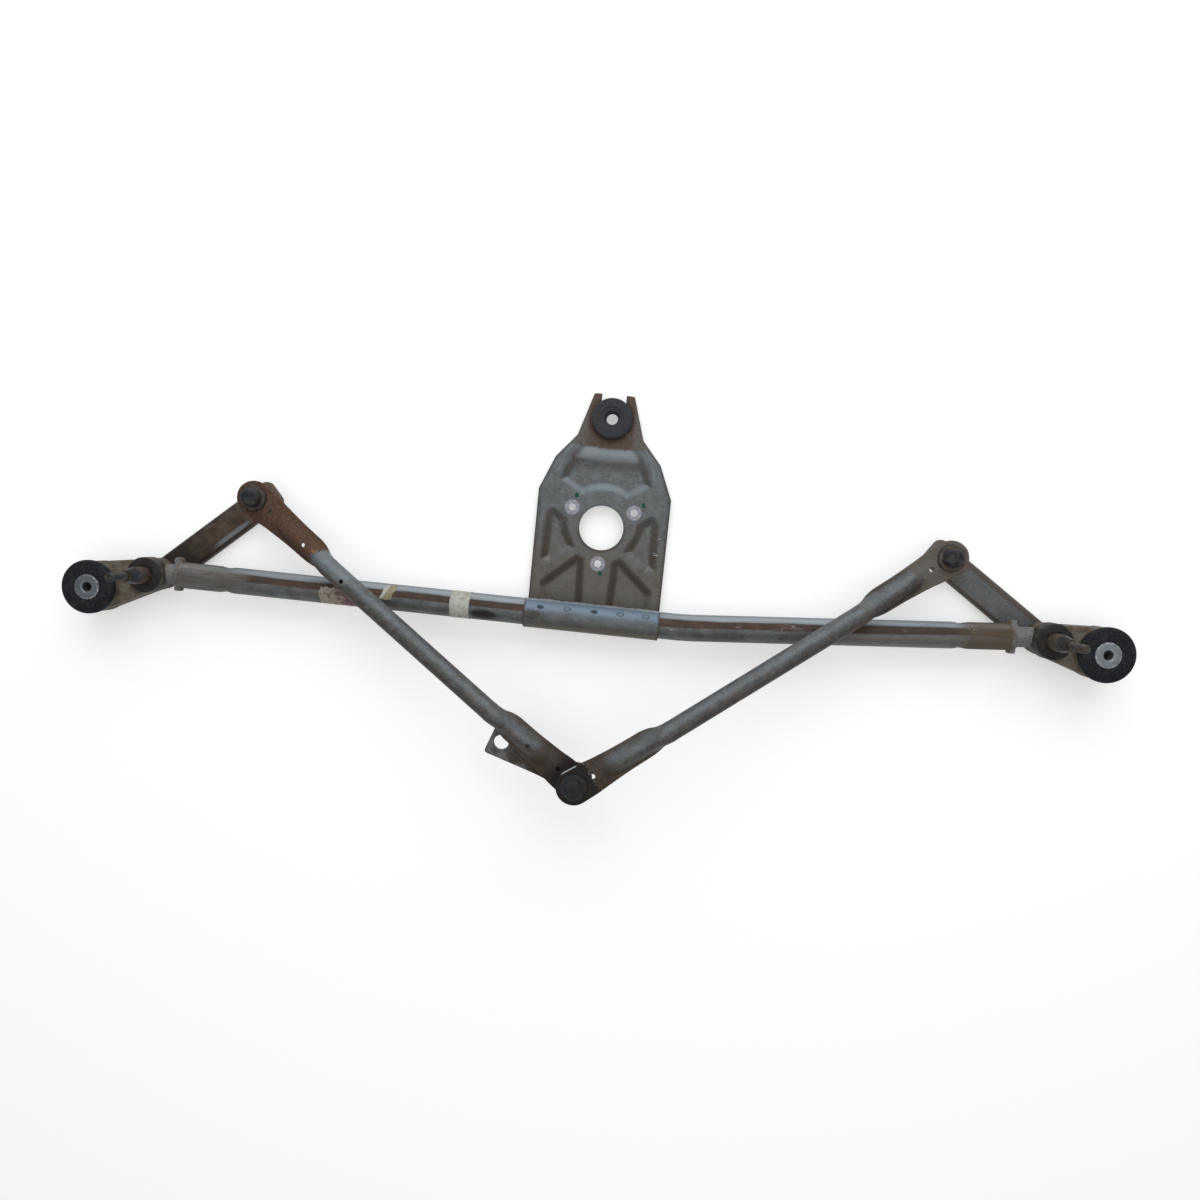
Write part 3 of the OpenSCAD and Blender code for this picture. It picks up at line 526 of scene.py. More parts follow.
def merged_copy(node):
    """A merged copy of a CAD node's mesh, in millimetres, with its flat faces joined."""
    bm = bmesh.new()
    bm.from_mesh(frame["nodes"][node].data)
    bmesh.ops.scale(bm, vec=(1 / MM,) * 3, verts=bm.verts)
    bmesh.ops.remove_doubles(bm, verts=bm.verts, dist=0.002)
    return bm


def soften(node, material, width):
    """Replaces a CAD node by a copy whose sharp edges are rounded."""
    bm = merged_copy(node)
    bmesh.ops.dissolve_limit(bm, angle_limit=math.radians(1), verts=bm.verts[:], edges=bm.edges[:])
    sharp = [e for e in bm.edges if len(e.link_faces) == 2 and e.calc_face_angle(0.0) > math.radians(30)]
    bmesh.ops.bevel(bm, geom=sharp, offset=width, offset_type="OFFSET", affect="EDGES", segments=2, profile=0.5,
                    material=-1, clamp_overlap=True)
    return finish_piece(node + "_look", bm, body_of(node), material, (node,))


# Carrier tube


def tube_axis(along):
    """Place on the tube's axis and its direction. along is X up to the bend and then runs on along the axis."""
    if along <= BEND_FROM:
        return Vector((along, TUBE_Y, TUBE_Z)), 0.0
    turn = min((along - BEND_FROM) / BEND_R, BEND_ANGLE)
    place = Vector((BEND_FROM + BEND_R * math.sin(turn), TUBE_Y + BEND_R * (1 - math.cos(turn)), TUBE_Z))
    rest = along - BEND_FROM - BEND_R * turn
    return place + rest * Vector((math.cos(turn), math.sin(turn), 0)), turn


TUBE_END = BEND_FROM + BEND_R * BEND_ANGLE + TUBE_RIGHT
CRIMPS = (TUBE_LEFT + 44, TUBE_END - 44)


def tube_point(along, angle, radius):
    """Point on the tube at an angle from the front towards +Y."""
    place, turn = tube_axis(along)
    side = Vector((-math.sin(turn), math.cos(turn), 0))
    return place + radius * (math.sin(angle) * side + math.cos(angle) * Vector((0, 0, 1)))


def tube_radius(along, angle):
    """The tube's radius, dented above and below where it is crimped."""
    outer = mm(shapes().tube_d) / 2
    dent = 0.0
    for crimp in CRIMPS:
        dent += math.exp(-((along - crimp) / 4.5) ** 2)
    return outer - mm(shapes().crimp_depth) * dent * smooth_step(0.45, 0.95, abs(math.sin(angle)))


def tube_stations():
    """Places of the rings: close together at the crimps."""
    places = [TUBE_LEFT]
    while places[-1] < TUBE_END:
        near = min(abs(places[-1] - c) for c in CRIMPS) < 14
        places.append(min(places[-1] + (1.0 if near else 4.0), TUBE_END))
    return places


def mark_run(bm):
    """Writes the way along the tube and the angle round it into a UV map."""
    layer = bm.loops.layers.uv.new("run")
    tip = tube_axis(BEND_FROM + BEND_R * BEND_ANGLE)[0]
    ahead = Vector((math.cos(BEND_ANGLE), math.sin(BEND_ANGLE), 0))
    for face in bm.faces:
        middle = face.calc_center_median()
        for loop in face.loops:
            co = loop.vert.co
            along = co.x
            side = co.y - TUBE_Y
            if along > BEND_FROM:
                way = (co - tip).dot(ahead)
                along = BEND_FROM + BEND_R * BEND_ANGLE + way
                side = (co - tip).dot(Vector((-ahead.y, ahead.x, 0)))
                if way < 0:
                    side = co.y - tube_axis(along)[0].y
            angle = math.degrees(math.atan2(side, co.z - TUBE_Z))
            if angle < -150 and middle.y > tube_axis(along)[0].y:
                angle += 360
            loop[layer].uv = (along * MM, angle / 360)


def tube_finish():
    """Zinc tube with a painted highlight and glint along its top, a rusty brown stripe below it, painted shade on its
    underside and dirty ends.
    """
    tint = colours()
    finish = Finish("tube_zinc")
    run = finish.node("ShaderNodeUVMap", {"uv_map": "run"})
    along = finish.node("ShaderNodeSeparateXYZ", inputs={0: run}, output=0) * (1 / MM)
    angle = finish.node("ShaderNodeSeparateXYZ", inputs={0: run}, output=1) * 360.0
    coat, speck = cloudy(finish, tint.zinc, blend(tint.zinc, tint.zinc_dark, 0.7), 14)
    streak = finish.noise(9, 4, stretch=(0.12, 1.0, 1.0))
    patch = finish.noise(26, 3)
    ragged = angle + (streak - 0.5) * 18.0
    # Painted highlight and glint along the top of the tube
    shine = finish.band(ragged, 37, 98, 2.5)
    coat = finish.mix(shine * (0.6 + streak * 0.5), coat, tint.zinc_light)
    glint = finish.band(ragged, 44, 66, 6)
    coat = finish.mix(glint * 0.4, coat, tint.bright)
    stripe = finish.band(ragged, 3, 36, 2.5)
    soot = blend(tint.rust_dark, tint.dark_dirt_and_shade, 0.4)
    brown = finish.mix(finish.step(patch, 0.44, 0.64), soot, blend(tint.rust, tint.rust_dark, 0.45))
    brown = finish.mix(finish.step(streak, 0.45, 0.62) * 0.5, brown, tint.rust_dark)
    coat = finish.mix(stripe * (0.86 + 0.12 * patch), coat, brown)
    # Painted shade along the tube's underside
    under = finish.drop(ragged, -78, -42)
    coat = finish.mix(under * 0.4, coat, tint.dark_dirt_and_shade)
    smear = finish.step(streak, 0.52, 0.66) * finish.drop(ragged, -6, 0)
    coat = finish.mix(smear * 0.4, coat, tint.mud)
    reach = along + (finish.noise(22, 4) - 0.5) * 44.0
    low_right = finish.step(reach, 150, 250) * finish.drop(ragged, -8, 2)
    coat = finish.mix(low_right * 0.7, coat, blend(tint.mud, tint.zinc_light, 0.5))
    left_end = finish.drop(reach, -352, -318)
    right_end = finish.step(reach, 330, 350)
    dirt = 0.72 + 0.24 * finish.step(speck, 0.35, 0.6)
    coat = finish.mix(left_end * dirt, coat, blend(tint.mud, tint.zinc_light, 0.4))
    coat = finish.mix(right_end * dirt, coat, blend(tint.mud, tint.dark_dirt_and_shade, 0.3))
    ends = left_end.most(right_end)
    coat = finish.mix(ends * finish.step(streak, 0.5, 0.64) * 0.45, coat, tint.dark_dirt_and_shade)
    blot = finish.drop(finish.distance(-100.6, -91.5, (0.4, 1.0)) + streak * 4.0, 5, 8)
    coat = finish.mix(blot * 0.8, coat, tint.grease)
    line = finish.noise(3, 1, stretch=(0.08, 1.0, 1.0))
    scratch = finish.band(line, 0.495, 0.505, 0.004) * finish.step(finish.noise(30, 2), 0.58, 0.66)
    coat = finish.mix(scratch * 0.8, coat, tint.bright)
    rough = 0.42 + 0.25 * ends + 0.2 * stripe + 0.12 * speck
    metal = 0.5 - 0.44 * ends.most(stripe)
    return finish.finish(coat, rough, metal, speck + streak * 0.5, 0.12)


class LINKAGE_OT_tube(Operator):
    """Builds the bent carrier tube with its crimps"""
    bl_idname = "linkage.tube"
    bl_label = "Carrier tube"

    def execute(self, context):
        bm = bmesh.new()
        sides = 64
        stations = tube_stations()
        rings = []
        for along in stations:
            lip = 0.35 if along in (stations[0], stations[-1]) else 0.0
            angles = [2 * math.pi * k / sides for k in range(sides)]
            rings.append([tube_point(along, a, tube_radius(along, a) - lip) for a in angles])
        sweep(bm, rings)
        bmesh.ops.recalc_face_normals(bm, faces=bm.faces[:])
        if bm.faces[0].normal.dot(bm.faces[0].calc_center_median() - tube_axis(TUBE_LEFT)[0]) < 0:
            bmesh.ops.reverse_faces(bm, faces=bm.faces[:])
        bmesh.ops.solidify(bm, geom=bm.faces[:], thickness=mm(shapes().tube_wall))
        mark_run(bm)
        finish_piece("carrier_tube", bm, "frame", tube_finish(), ("frame_tube",))
        return {"FINISHED"}


# Motor plate

PLATE_SIDE = [(63.2, -85.0), (63.2, 32.2), (50.0, 63.7), (31.3, 85.7), (19.2, 125.0)]
PLATE_LOW = -86.0
RING_ZONE = 39.0
RING_ARC = [(RING_ZONE * math.cos(math.radians(a)), RING_ZONE * math.sin(math.radians(a)))
            for a in range(123, 56, -11)]
TOP_POCKET = [(40.0, 44.0), (33.0, 64.0), (23.0, 80.0), (-23.0, 80.0), (-33.0, 64.0), (-40.0, 44.0)] + RING_ARC
FLANK_POCKET = [(47.0, 11.5), (37.0, 5.0), (34.0, -7.0), (27.0, -20.0), (46.5, -34.5), (51.5, -33.0), (50.5, 6.0)]
FOOT_POCKET = [(14.5, -80.0), (50.0, -80.0), (50.0, -57.0), (20.5, -31.0), (16.5, -33.0)]


def pressed(x, y, half=None):
    """How far a point of the plate is pressed in, from 0 to 1; half is half the width of the slope."""
    half = half or mm(shapes().pocket_slope) / 2
    if y > 25:
        return smooth_step(-half, half, depth_inside(x, y, TOP_POCKET)) * (1 - smooth_step(52, 70, y))
    side = max(depth_inside(abs(x), y, FLANK_POCKET), depth_inside(abs(x), y, FOOT_POCKET))
    return smooth_step(-half, half, side)


def side_planes(inset):
    """Each sloping side of the plate as (point, outward normal), set in from the outline."""
    planes = []
    for (ax, ay), (bx, by) in zip(PLATE_SIDE, PLATE_SIDE[1:]):
        normal = Vector((by - ay, ax - bx, 0)).normalized()
        point = Vector((ax, ay, 0)) - inset * normal
        planes.append((point, normal))
    return planes


def crossing_y(first, second):
    """Y at which two sides cross."""
    (p, n), (q, m) = first, second
    det = n.x * m.y - n.y * m.x
    return (n.x * q.dot(m) - m.x * p.dot(n)) / det


def bisect(bm, faces, point, normal, clear=True):
    geom = list({*faces, *(e for f in faces for e in f.edges), *(v for f in faces for v in f.verts)})
    bmesh.ops.bisect_plane(bm, geom=geom, dist=1e-5, plane_co=point, plane_no=normal, clear_outer=clear)


def plate_sheet(bm):
    """The flat of the plate, cut to its sides, with its pockets and the rim turned back round it."""
    radius = mm(shapes().rim_r)
    planes = side_planes(radius)
    waist = crossing_y(planes[2], planes[3])
    low, high, half = PLATE_LOW, 132.0, 60.0
    spread = Matrix.Translation((0, (low + high) / 2, 0)) @ Matrix.Diagonal((half, (high - low) / 2, 1, 1))
    bmesh.ops.create_grid(bm, x_segments=120, y_segments=218, size=1, matrix=spread)
    bisect(bm, bm.faces[:], (0, waist, 0), (0, 1, 0), clear=False)
    for turn in (1, -1):
        for number, (point, normal) in enumerate(planes):
            faces = [f for f in bm.faces if (f.calc_center_median().y > waist) == (number == 3)]
            mirrored = Vector((turn, 1, 1))
            bisect(bm, faces, point * mirrored, normal * mirrored, clear=False)
    outside = []
    for face in bm.faces:
        middle = face.calc_center_median()
        middle.x = abs(middle.x)
        sides = planes[3:] if middle.y > waist else planes[:3]
        if any((middle - point).dot(normal) > 0 for point, normal in sides):
            outside.append(face)
    bmesh.ops.delete(bm, geom=outside, context="FACES")
    for vert in bm.verts:
        vert.co.z = -mm(shapes().pocket_depth) * pressed(vert.co.x, vert.co.y)
    edges = [e for e in bm.edges if e.is_boundary and not all(v.co.y < low + 0.01 for v in e.verts)
             and not all(v.co.y > high - 0.01 for v in e.verts)]
    turn_back(bm, edges, planes, radius)
    bisect(bm, bm.faces[:], (0, PLATE_SIDE[-1][1], 0), (0, 1, 0))
    sizes = shapes()
    punch(bm, (0.0, 0.0), mm(sizes.motor_hole_d) / 2)
    for bolt in BOLTS:
        punch(bm, bolt, mm(sizes.bolt_hole_d) / 2)
    punch(bm, (0.0, GROMMET_Y), mm(sizes.slot_w) / 2, open_top=True)
    face_front(bm)
    return thicken(bm, mm(sizes.sheet))


def thicken(bm, wall):
    """Gives a sheet its wall, behind its front face."""
    holder = link_blank(bm)
    bm.free()
    solid = holder.modifiers.new("wall", "SOLIDIFY")
    solid.thickness = wall
    solid.offset = -1.0
    solid.use_even_offset = False
    made = modified(holder)
    drop_blank(holder)
    return made


def punch(bm, centre, radius, open_top=False):
    """Punches a round hole, or a slot that is open upwards, and draws its edge to the true outline."""
    def from_axis(co):
        rise = 0.0 if open_top and co.y > centre[1] else co.y - centre[1]
        return Vector((co.x - centre[0], rise, 0))

    inside = [f for f in bm.faces if from_axis(f.calc_center_median()).length < radius]
    rim = {v for f in inside for v in f.verts}
    bmesh.ops.delete(bm, geom=inside, context="FACES")
    for vert in rim:
        if vert.is_valid and vert.link_faces:
            out = from_axis(vert.co)
            vert.co += out.normalized() * radius - out


def turn_back(bm, edges, planes, radius):
    """Turns the side edges back through a quarter round and down to the rim's depth."""
    verts = list({v for e in edges for v in e.verts})
    base = []
    corners = []
    for vert in verts:
        turn = Vector((1 if vert.co.x > 0 else -1, 1, 1))
        normals = [n * turn for p, n in planes if abs((vert.co - p * turn).dot(n * turn)) < 0.01]
        miter = normals[0]
        if len(normals) > 1:
            miter = (normals[0] + normals[1]) / (1 + normals[0].dot(normals[1]))
            corners.append((vert.co.copy(), miter))
        base.append((vert.co.copy(), miter))
    ease = 3.0
    for number, (place, miter) in enumerate(base):
        for corner, lean in corners:
            near = (place - corner).length
            if near < ease:
                base[number] = (place, lean.lerp(miter, near / ease))
    steps = [(radius * math.sin(a), radius * (math.cos(a) - 1)) for a in (math.pi / 12 * k for k in range(1, 7))]
    for out, down in steps + [(radius, -mm(shapes().rim_depth))]:
        verts, edges = extrude_row(bm, verts, edges)
        for vert, (place, miter) in zip(verts, base):
            vert.co = Vector((place.x + out * miter.x, place.y + out * miter.y, down))


def face_front(bm):
    """Makes an open sheet's faces agree and point to +Z on the flat."""
    bmesh.ops.recalc_face_normals(bm, faces=bm.faces[:])
    flat = max(bm.faces, key=lambda f: abs(f.normal.z) * f.calc_area())
    if flat.normal.z < 0:
        bmesh.ops.reverse_faces(bm, faces=bm.faces[:])


def mark_plate(bm):
    """Writes attributes for dirt and painted light: slopes that face away from the light, which take dirt and painted
    shade, slopes that the light finds, which take a painted highlight, and the rim.
    """
    planes = side_planes(mm(shapes().rim_r))
    waist = crossing_y(planes[2], planes[3])
    slope = mm(shapes().pocket_slope)
    half = mm(shapes().shade_and_dirt_reach)
    full = half / 0.75
    dark = bm.verts.layers.float.new("dark_slope")
    lit = bm.verts.layers.float.new("lit_slope")
    rim = bm.verts.layers.float.new("rim")
    near = 0.5
    for vert in bm.verts:
        x, y = vert.co.x, vert.co.y
        across = (pressed(x + near, y, half) - pressed(x - near, y, half)) / (2 * near) * full
        upward = (pressed(x, y + near, half) - pressed(x, y - near, half)) / (2 * near) * full
        vert[lit] = max(upward, 0.0)
        outer = smooth_step(38, 44, abs(x)) * (1 - smooth_step(-64, -56, y))
        vert[dark] = (math.hypot(across, upward) - 0.9 * max(upward, 0.0)) * (1 - 0.75 * outer)
        # Along the top pocket's edge: a band of painted shade and a band of painted highlight
        if y > 46:
            inside = depth_inside(x, y, TOP_POCKET)
            fade = smooth_step(44, 52, y) * (1 - smooth_step(76, 86, y)) * smooth_step(12, 22, abs(x))
            vert[dark] = max(vert[dark], 0.85 * fade * (1 - smooth_step(0, 0.65 * slope, abs(inside - 0.5))))
            vert[lit] = max(vert[lit], 0.75 * fade * (1 - smooth_step(0, 0.4 * slope, abs(inside + 0.85 * slope))))
        place = Vector((abs(x), y, 0))
        sides = planes[3:] if y > waist else planes[:3]
        vert[rim] = smooth_step(1.0, 5.0, max((place - point).dot(normal) for point, normal in sides))


def plate_finish():
    """Dull zinc, brown towards the foot, rusty under the grommet, with dirt and painted shade in the slopes, painted
    highlights on the slopes that face the light and on a band below the fork, and worn bolt seats.
    """
    tint = colours()
    finish = Finish("plate_zinc")
    x = finish.part(0)
    y = finish.part(1)
    coat, speck = cloudy(finish, blend(tint.zinc, tint.zinc_light, 0.15), blend(tint.zinc, tint.zinc_dark, 0.3), 9)
    blots = finish.noise(17, 4)
    fine = finish.noise(3.2, 4)
    flaky = finish.noise(1.3, 3)
    foot = finish.drop(y + (blots - 0.5) * 34.0, -46, 26)
    coat = finish.mix(foot * 0.55, coat, tint.mud)
    coat = finish.mix(finish.step(blots * 0.6 + fine * 0.4, 0.5, 0.62) * 0.25, coat, tint.dark_dirt_and_shade)
    ripple = y + (fine - 0.5) * 3.0 - abs(x) * 0.06
    # A painted highlight band below the fork
    painted_highlight_band = finish.band(ripple, 62.2, 73.4, 1.8) * finish.drop(abs(x), 25, 33)
    coat = finish.mix(painted_highlight_band * 0.9, coat, blend(tint.zinc_light, tint.bright, 0.12))
    dark = finish.node("ShaderNodeAttribute", {"attribute_name": "dark_slope"}, output="Fac")
    lit = finish.node("ShaderNodeAttribute", {"attribute_name": "lit_slope"}, output="Fac")
    rim = finish.node("ShaderNodeAttribute", {"attribute_name": "rim"}, output="Fac")
    # Dirt and painted shade on slopes that face away from the light
    dirt_and_shade_on_slopes = finish.step(dark + (fine - 0.5) * 0.4, 0.02, 1.1)
    coat = finish.mix(dirt_and_shade_on_slopes * (0.62 + 0.22 * foot), coat, tint.dark_dirt_and_shade)
    # Painted highlight on slopes that face the light
    coat = finish.mix(finish.step(lit, 0.4, 1.05) * (0.75 - foot * 0.62), coat, tint.zinc_light)
    coat = finish.mix(finish.step(rim + (fine - 0.5) * 0.3, 0.3, 0.85) * 0.72, coat, tint.dark_dirt_and_shade)
    fork = finish.step(ripple, 73.2, 75.6)
    between = finish.drop(abs(x) + (fine - 0.5) * 3.0, 18, 25)
    soiled = finish.mix(between * 0.8, blend(tint.mud, tint.zinc, 0.35), blend(tint.rust, tint.dark_dirt_and_shade, 0.4))
    soiled = finish.mix(finish.step(fine, 0.5, 0.64) * 0.5, soiled, tint.dark_dirt_and_shade)
    coat = finish.mix(fork * 0.9, coat, soiled)
    seat = finish.distance(0, GROMMET_Y) + (fine - 0.5) * 5.0
    coat = finish.mix(finish.drop(seat, 17.5, 24) * fork * 0.85, coat, blend(tint.rust_dark, tint.grease, 0.35))
    hole = finish.distance(0, 0) + (fine - 0.5) * 3.0
    lower = finish.drop(y, -10, 12)
    coat = finish.mix(finish.drop(hole, 20.5, 25) * (0.2 + 0.65 * lower), coat, tint.dark_dirt_and_shade)
    for bolt in BOLTS:
        ring = finish.distance(*bolt) + (flaky - 0.5) * 2.8
        worn = finish.drop(ring, 6.5, 7.7)
        coat = finish.mix(worn * (0.3 + 0.65 * finish.step(flaky, 0.45, 0.6)), coat, tint.seat)
    for dot in ((-26.0, 28.5), (37.5, 24.7), (3.2, -43.0)):
        spot = finish.distance(*dot, (1.1, 0.9)) + (flaky - 0.5) * 2.4
        coat = finish.mix(finish.drop(spot, 1.8, 2.3), coat, tint.paint_dot)
    line = finish.noise(4, 1, stretch=(0.25, 1.0, 1.0), twist=0.6)
    scored = finish.band(line, 0.497, 0.503, 0.003) * finish.step(finish.noise(16, 2), 0.6, 0.68)
    coat = finish.mix(scored * 0.7, coat, tint.bright)
    for nick in ((54.3, -20.6, 0.22), (52.0, -18.8, 0.5), (55.5, -5.0, 0.5)):
        mark = finish.distance(nick[0], nick[1], (nick[2], 1.4)) + (flaky - 0.5) * 1.6
        coat = finish.mix(finish.drop(mark, 0.35, 0.6), coat, tint.bright)
    rough = 0.46 + 0.22 * fork.most(dirt_and_shade_on_slopes) + 0.14 * speck
    metal = 0.45 - 0.38 * fork.most(dirt_and_shade_on_slopes).most(foot * 0.7)
    return finish.finish(coat, rough, metal, speck + fine * 0.6, 0.14)


WRAP_X = 63.2
WRAP_TURN = math.radians(255)
STAKES = [(-47.8, 63), (-22.6, 61), (2.5, 60), (26.6, 59), (50.6, 58)]


def wrap_dent(x, angle, radius):
    """Depth of the stake marks at a point of the wrap; angle runs from +Y to the front."""
    deepest = 0.0
    for place, lean in STAKES:
        across = (x - place) / 3.4
        around = radius * (angle - math.radians(lean)) / 1.9
        deepest = max(deepest, 1 - smooth_step(0.55, 1.0, math.hypot(across, around)))
    return deepest


def wrap_shell(bm):
    """The sheet's end, spun round the tube from behind, with a ragged edge and stake marks."""
    radius = mm(shapes().tube_d) / 2 + 0.05 + mm(shapes().sheet)
    count = 158
    row = [bm.verts.new((-WRAP_X + 2 * WRAP_X * k / count, TUBE_Y, TUBE_Z - radius)) for k in range(count + 1)]
    edges = [bm.edges.new(pair) for pair in zip(row, row[1:])]
    bmesh.ops.spin(bm, geom=row + edges, cent=(0, TUBE_Y, TUBE_Z), axis=(1, 0, 0), angle=-WRAP_TURN, steps=84,
                   use_merge=False, use_duplicate=False)
    start = WRAP_TURN - math.radians(270)
    for vert in bm.verts:
        side = Vector((vert.co.y - TUBE_Y, vert.co.z - TUBE_Z))
        angle = math.atan2(side.y, side.x)
        x = vert.co.x
        jag = 0.9 * math.sin(x * 0.21 + 1.0) + 0.5 * math.sin(x * 0.83) + 0.35 * math.sin(x * 1.9 + 2.0)
        near = 1 - smooth_step(0, 0.35, abs(angle + start)) if angle < math.radians(90) and side.x > 0 else 0.0
        angle += near * jag / radius
        depth = mm(shapes().stake_depth) * wrap_dent(x, angle, radius)
        lip = 0.6 * near
        vert.co.y = TUBE_Y + (radius - depth - lip) * math.cos(angle)
        vert.co.z = TUBE_Z + (radius - depth - lip) * math.sin(angle)
    bmesh.ops.recalc_face_normals(bm, faces=bm.faces[:])
    face = bm.faces[len(bm.faces) // 2]
    if face.normal.dot(face.calc_center_median() - Vector((face.calc_center_median().x, TUBE_Y, TUBE_Z))) < 0:
        bmesh.ops.reverse_faces(bm, faces=bm.faces[:])
    bmesh.ops.solidify(bm, geom=bm.faces[:], thickness=mm(shapes().sheet) - 0.05)


def wrap_finish():
    """Zinc with a bluish painted sky reflection on top, brown underneath, with dark rings round the stake marks."""
    tint = colours()
    finish = Finish("wrap_zinc")
    x = finish.part(0)
    y = finish.part(1)
    z = finish.part(2)
    coat, speck = cloudy(finish, tint.zinc, blend(tint.zinc, tint.zinc_dark, 0.5), 12)
    blots = finish.noise(14, 4)
    fine = finish.noise(2.4, 4)
    fall = y + (blots - 0.5) * 7.0 + (fine - 0.5) * 4.0
    # Painted sky reflection along the top; darker and browner towards the bottom
    coat = finish.mix(finish.step(fall, -86, -77) * 0.95, coat, tint.sky_reflection_blue)
    coat = finish.mix(finish.drop(fall, -99, -88) * 0.7, coat, tint.mud)
    coat = finish.mix(finish.drop(fall, -101, -95) * 0.8, coat, tint.dark_dirt_and_shade)
    stain = finish.drop(finish.distance(-55.8, -86, (0.45, 1.0)) + (fine - 0.5) * 7.0, 2.5, 6)
    coat = finish.mix(stain * 0.6, coat, tint.dark_dirt_and_shade)
    sides = finish.step(abs(x) + (fine - 0.5) * 3.0, 60.5, 63)
    coat = finish.mix(sides * 0.65, coat, tint.dark_dirt_and_shade)
    rear = finish.drop(z, 2, 8)
    coat = finish.mix(rear * 0.7, coat, tint.mud)
    ragged = finish.noise(1.4, 2)
    for number, (place, lean) in enumerate(STAKES):
        at = TUBE_Y + 14.5 * math.cos(math.radians(lean))
        ring = finish.distance(place, at, (1 / 3.4, 1 / 1.9)) + (ragged - 0.5) * 0.35
        mark = finish.drop(ring, 0.75, 1.1) if number in (0, 2) else finish.band(ring, 0.85, 1.05, 0.1)
        coat = finish.mix(mark * 0.78, coat, tint.grease)
    lip = finish.step(y + (ragged - 0.5) * 1.6, -73.2, -72.2)
    coat = finish.mix(lip * 0.7, coat, tint.bright)
    rough = 0.4 + 0.14 * speck + 0.2 * sides
    return finish.finish(coat, rough, 0.5 - 0.4 * sides.most(rear), speck + blots * 0.5, 0.12)


class LINKAGE_OT_motor_plate(Operator):
    """Builds the pressed motor plate and its wrap round the tube"""
    bl_idname = "linkage.motor_plate"
    bl_label = "Motor plate"

    def execute(self, context):
        bm = plate_sheet(bmesh.new())
        mark_plate(bm)
        finish_piece("pressed_plate", bm, "frame", plate_finish(), ("motor_plate",))
        bm = bmesh.new()
        wrap_shell(bm)
        finish_piece("plate_wrap", bm, "frame", wrap_finish())
        return {"FINISHED"}


# Rubber, alloy and plastic


def rubber_finish(name, base, dusty):
    """Black rubber with a bluish painted sheen and dust in its pores, and greyed rub marks."""
    tint = colours()
    finish = Finish(name)
    pores = finish.noise(0.8, 3)
    cloud = finish.noise(7, 4)
    z = finish.part(2)
    # Bluish painted sheen on the pores
    sheen = finish.mix(finish.step(pores, 0.4, 0.62), base, blend(base, tint.sky_reflection_blue, 0.1))
    dust = finish.step(cloud + pores * 0.3, 0.62, 0.86) * dusty
    sheen = finish.mix(dust, sheen, tint.dust)
    rub = finish.noise(3, 2, stretch=(0.3, 1.0, 1.0), twist=0.8)
    scuff = finish.band(rub, 0.495, 0.51, 0.006) * finish.step(cloud, 0.52, 0.6)
    sheen = finish.mix(scuff * 0.3, sheen, tint.dust)
    sheen = finish.mix(finish.drop(z, 2, 16) * 0.25, sheen, tint.dark_dirt_and_shade)
    return finish.finish(sheen, 0.62 + 0.22 * pores, 0.0, pores + cloud * 0.4, 0.1, specular=0.18)


def sleeve_finish():
    """Turned alloy with rings from the tool, dull patches, a chewed edge, a painted highlight round the bore and
    painted shade inside it.
    """
    tint = colours()
    finish = Finish("sleeve_turned")
    cloud = finish.noise(4, 4)
    speck = finish.noise(0.6, 2)
    chewed = finish.noise(1.7, 3)
    centres = [node_box("left_mount_sleeve"), node_box("right_mount_sleeve")]
    middles = [(low + high) / 2 for low, high in centres]
    reach = finish.distance(middles[0].x, middles[0].y).least(finish.distance(middles[1].x, middles[1].y))
    rings = finish.node("ShaderNodeMath", {"operation": "SINE"}, {0: reach * 9.0})
    base = finish.mix(finish.step(cloud, 0.38, 0.62), blend(tint.sleeve, tint.zinc_dark, 0.35), tint.sleeve)
    x = finish.part(0)
    base = finish.mix(finish.drop(x, -50, 50) * 0.3, base, tint.zinc_dark)
    base = finish.mix(finish.step(x, -50, 50) * 0.2, base, tint.bright)
    base = finish.mix(finish.step(reach, 9.6, 11.2) * finish.step(chewed, 0.5, 0.6) * 0.8, base, tint.bright)
    base = finish.mix(finish.step(speck, 0.58, 0.72) * 0.45, base, tint.zinc_dark)
    # Painted highlight round the bore, and painted shade inside it
    base = finish.mix(finish.band(reach, 4.7, 6.0, 0.4) * 0.15, base, tint.bright)
    base = finish.mix(finish.drop(reach, 4.0, 4.8) * 0.6, base, tint.zinc_dark)
    return finish.finish(base, 0.38 + 0.2 * cloud, 0.6, rings * 0.25 + speck, 0.05)


class LINKAGE_OT_mounts(Operator):
    """Finishes the grommet, the mount rubbers and their sleeves"""
    bl_idname = "linkage.mounts"
    bl_label = "Grommet and body mounts"

    def execute(self, context):
        tint = colours()
        width = mm(shapes().edge_round)
        soften("plate_grommet", rubber_finish("grommet_rubber", tint.grommet, 0.15), width)
        rubber = rubber_finish("mount_rubber", tint.rubber, 0.1)
        sleeve = sleeve_finish()
        for side in ("left", "right"):
            soften(side + "_mount_rubber", rubber, 2 * width)
            soften(side + "_mount_sleeve", sleeve, 0.6 * width)
        return {"FINISHED"}


# Cast housings


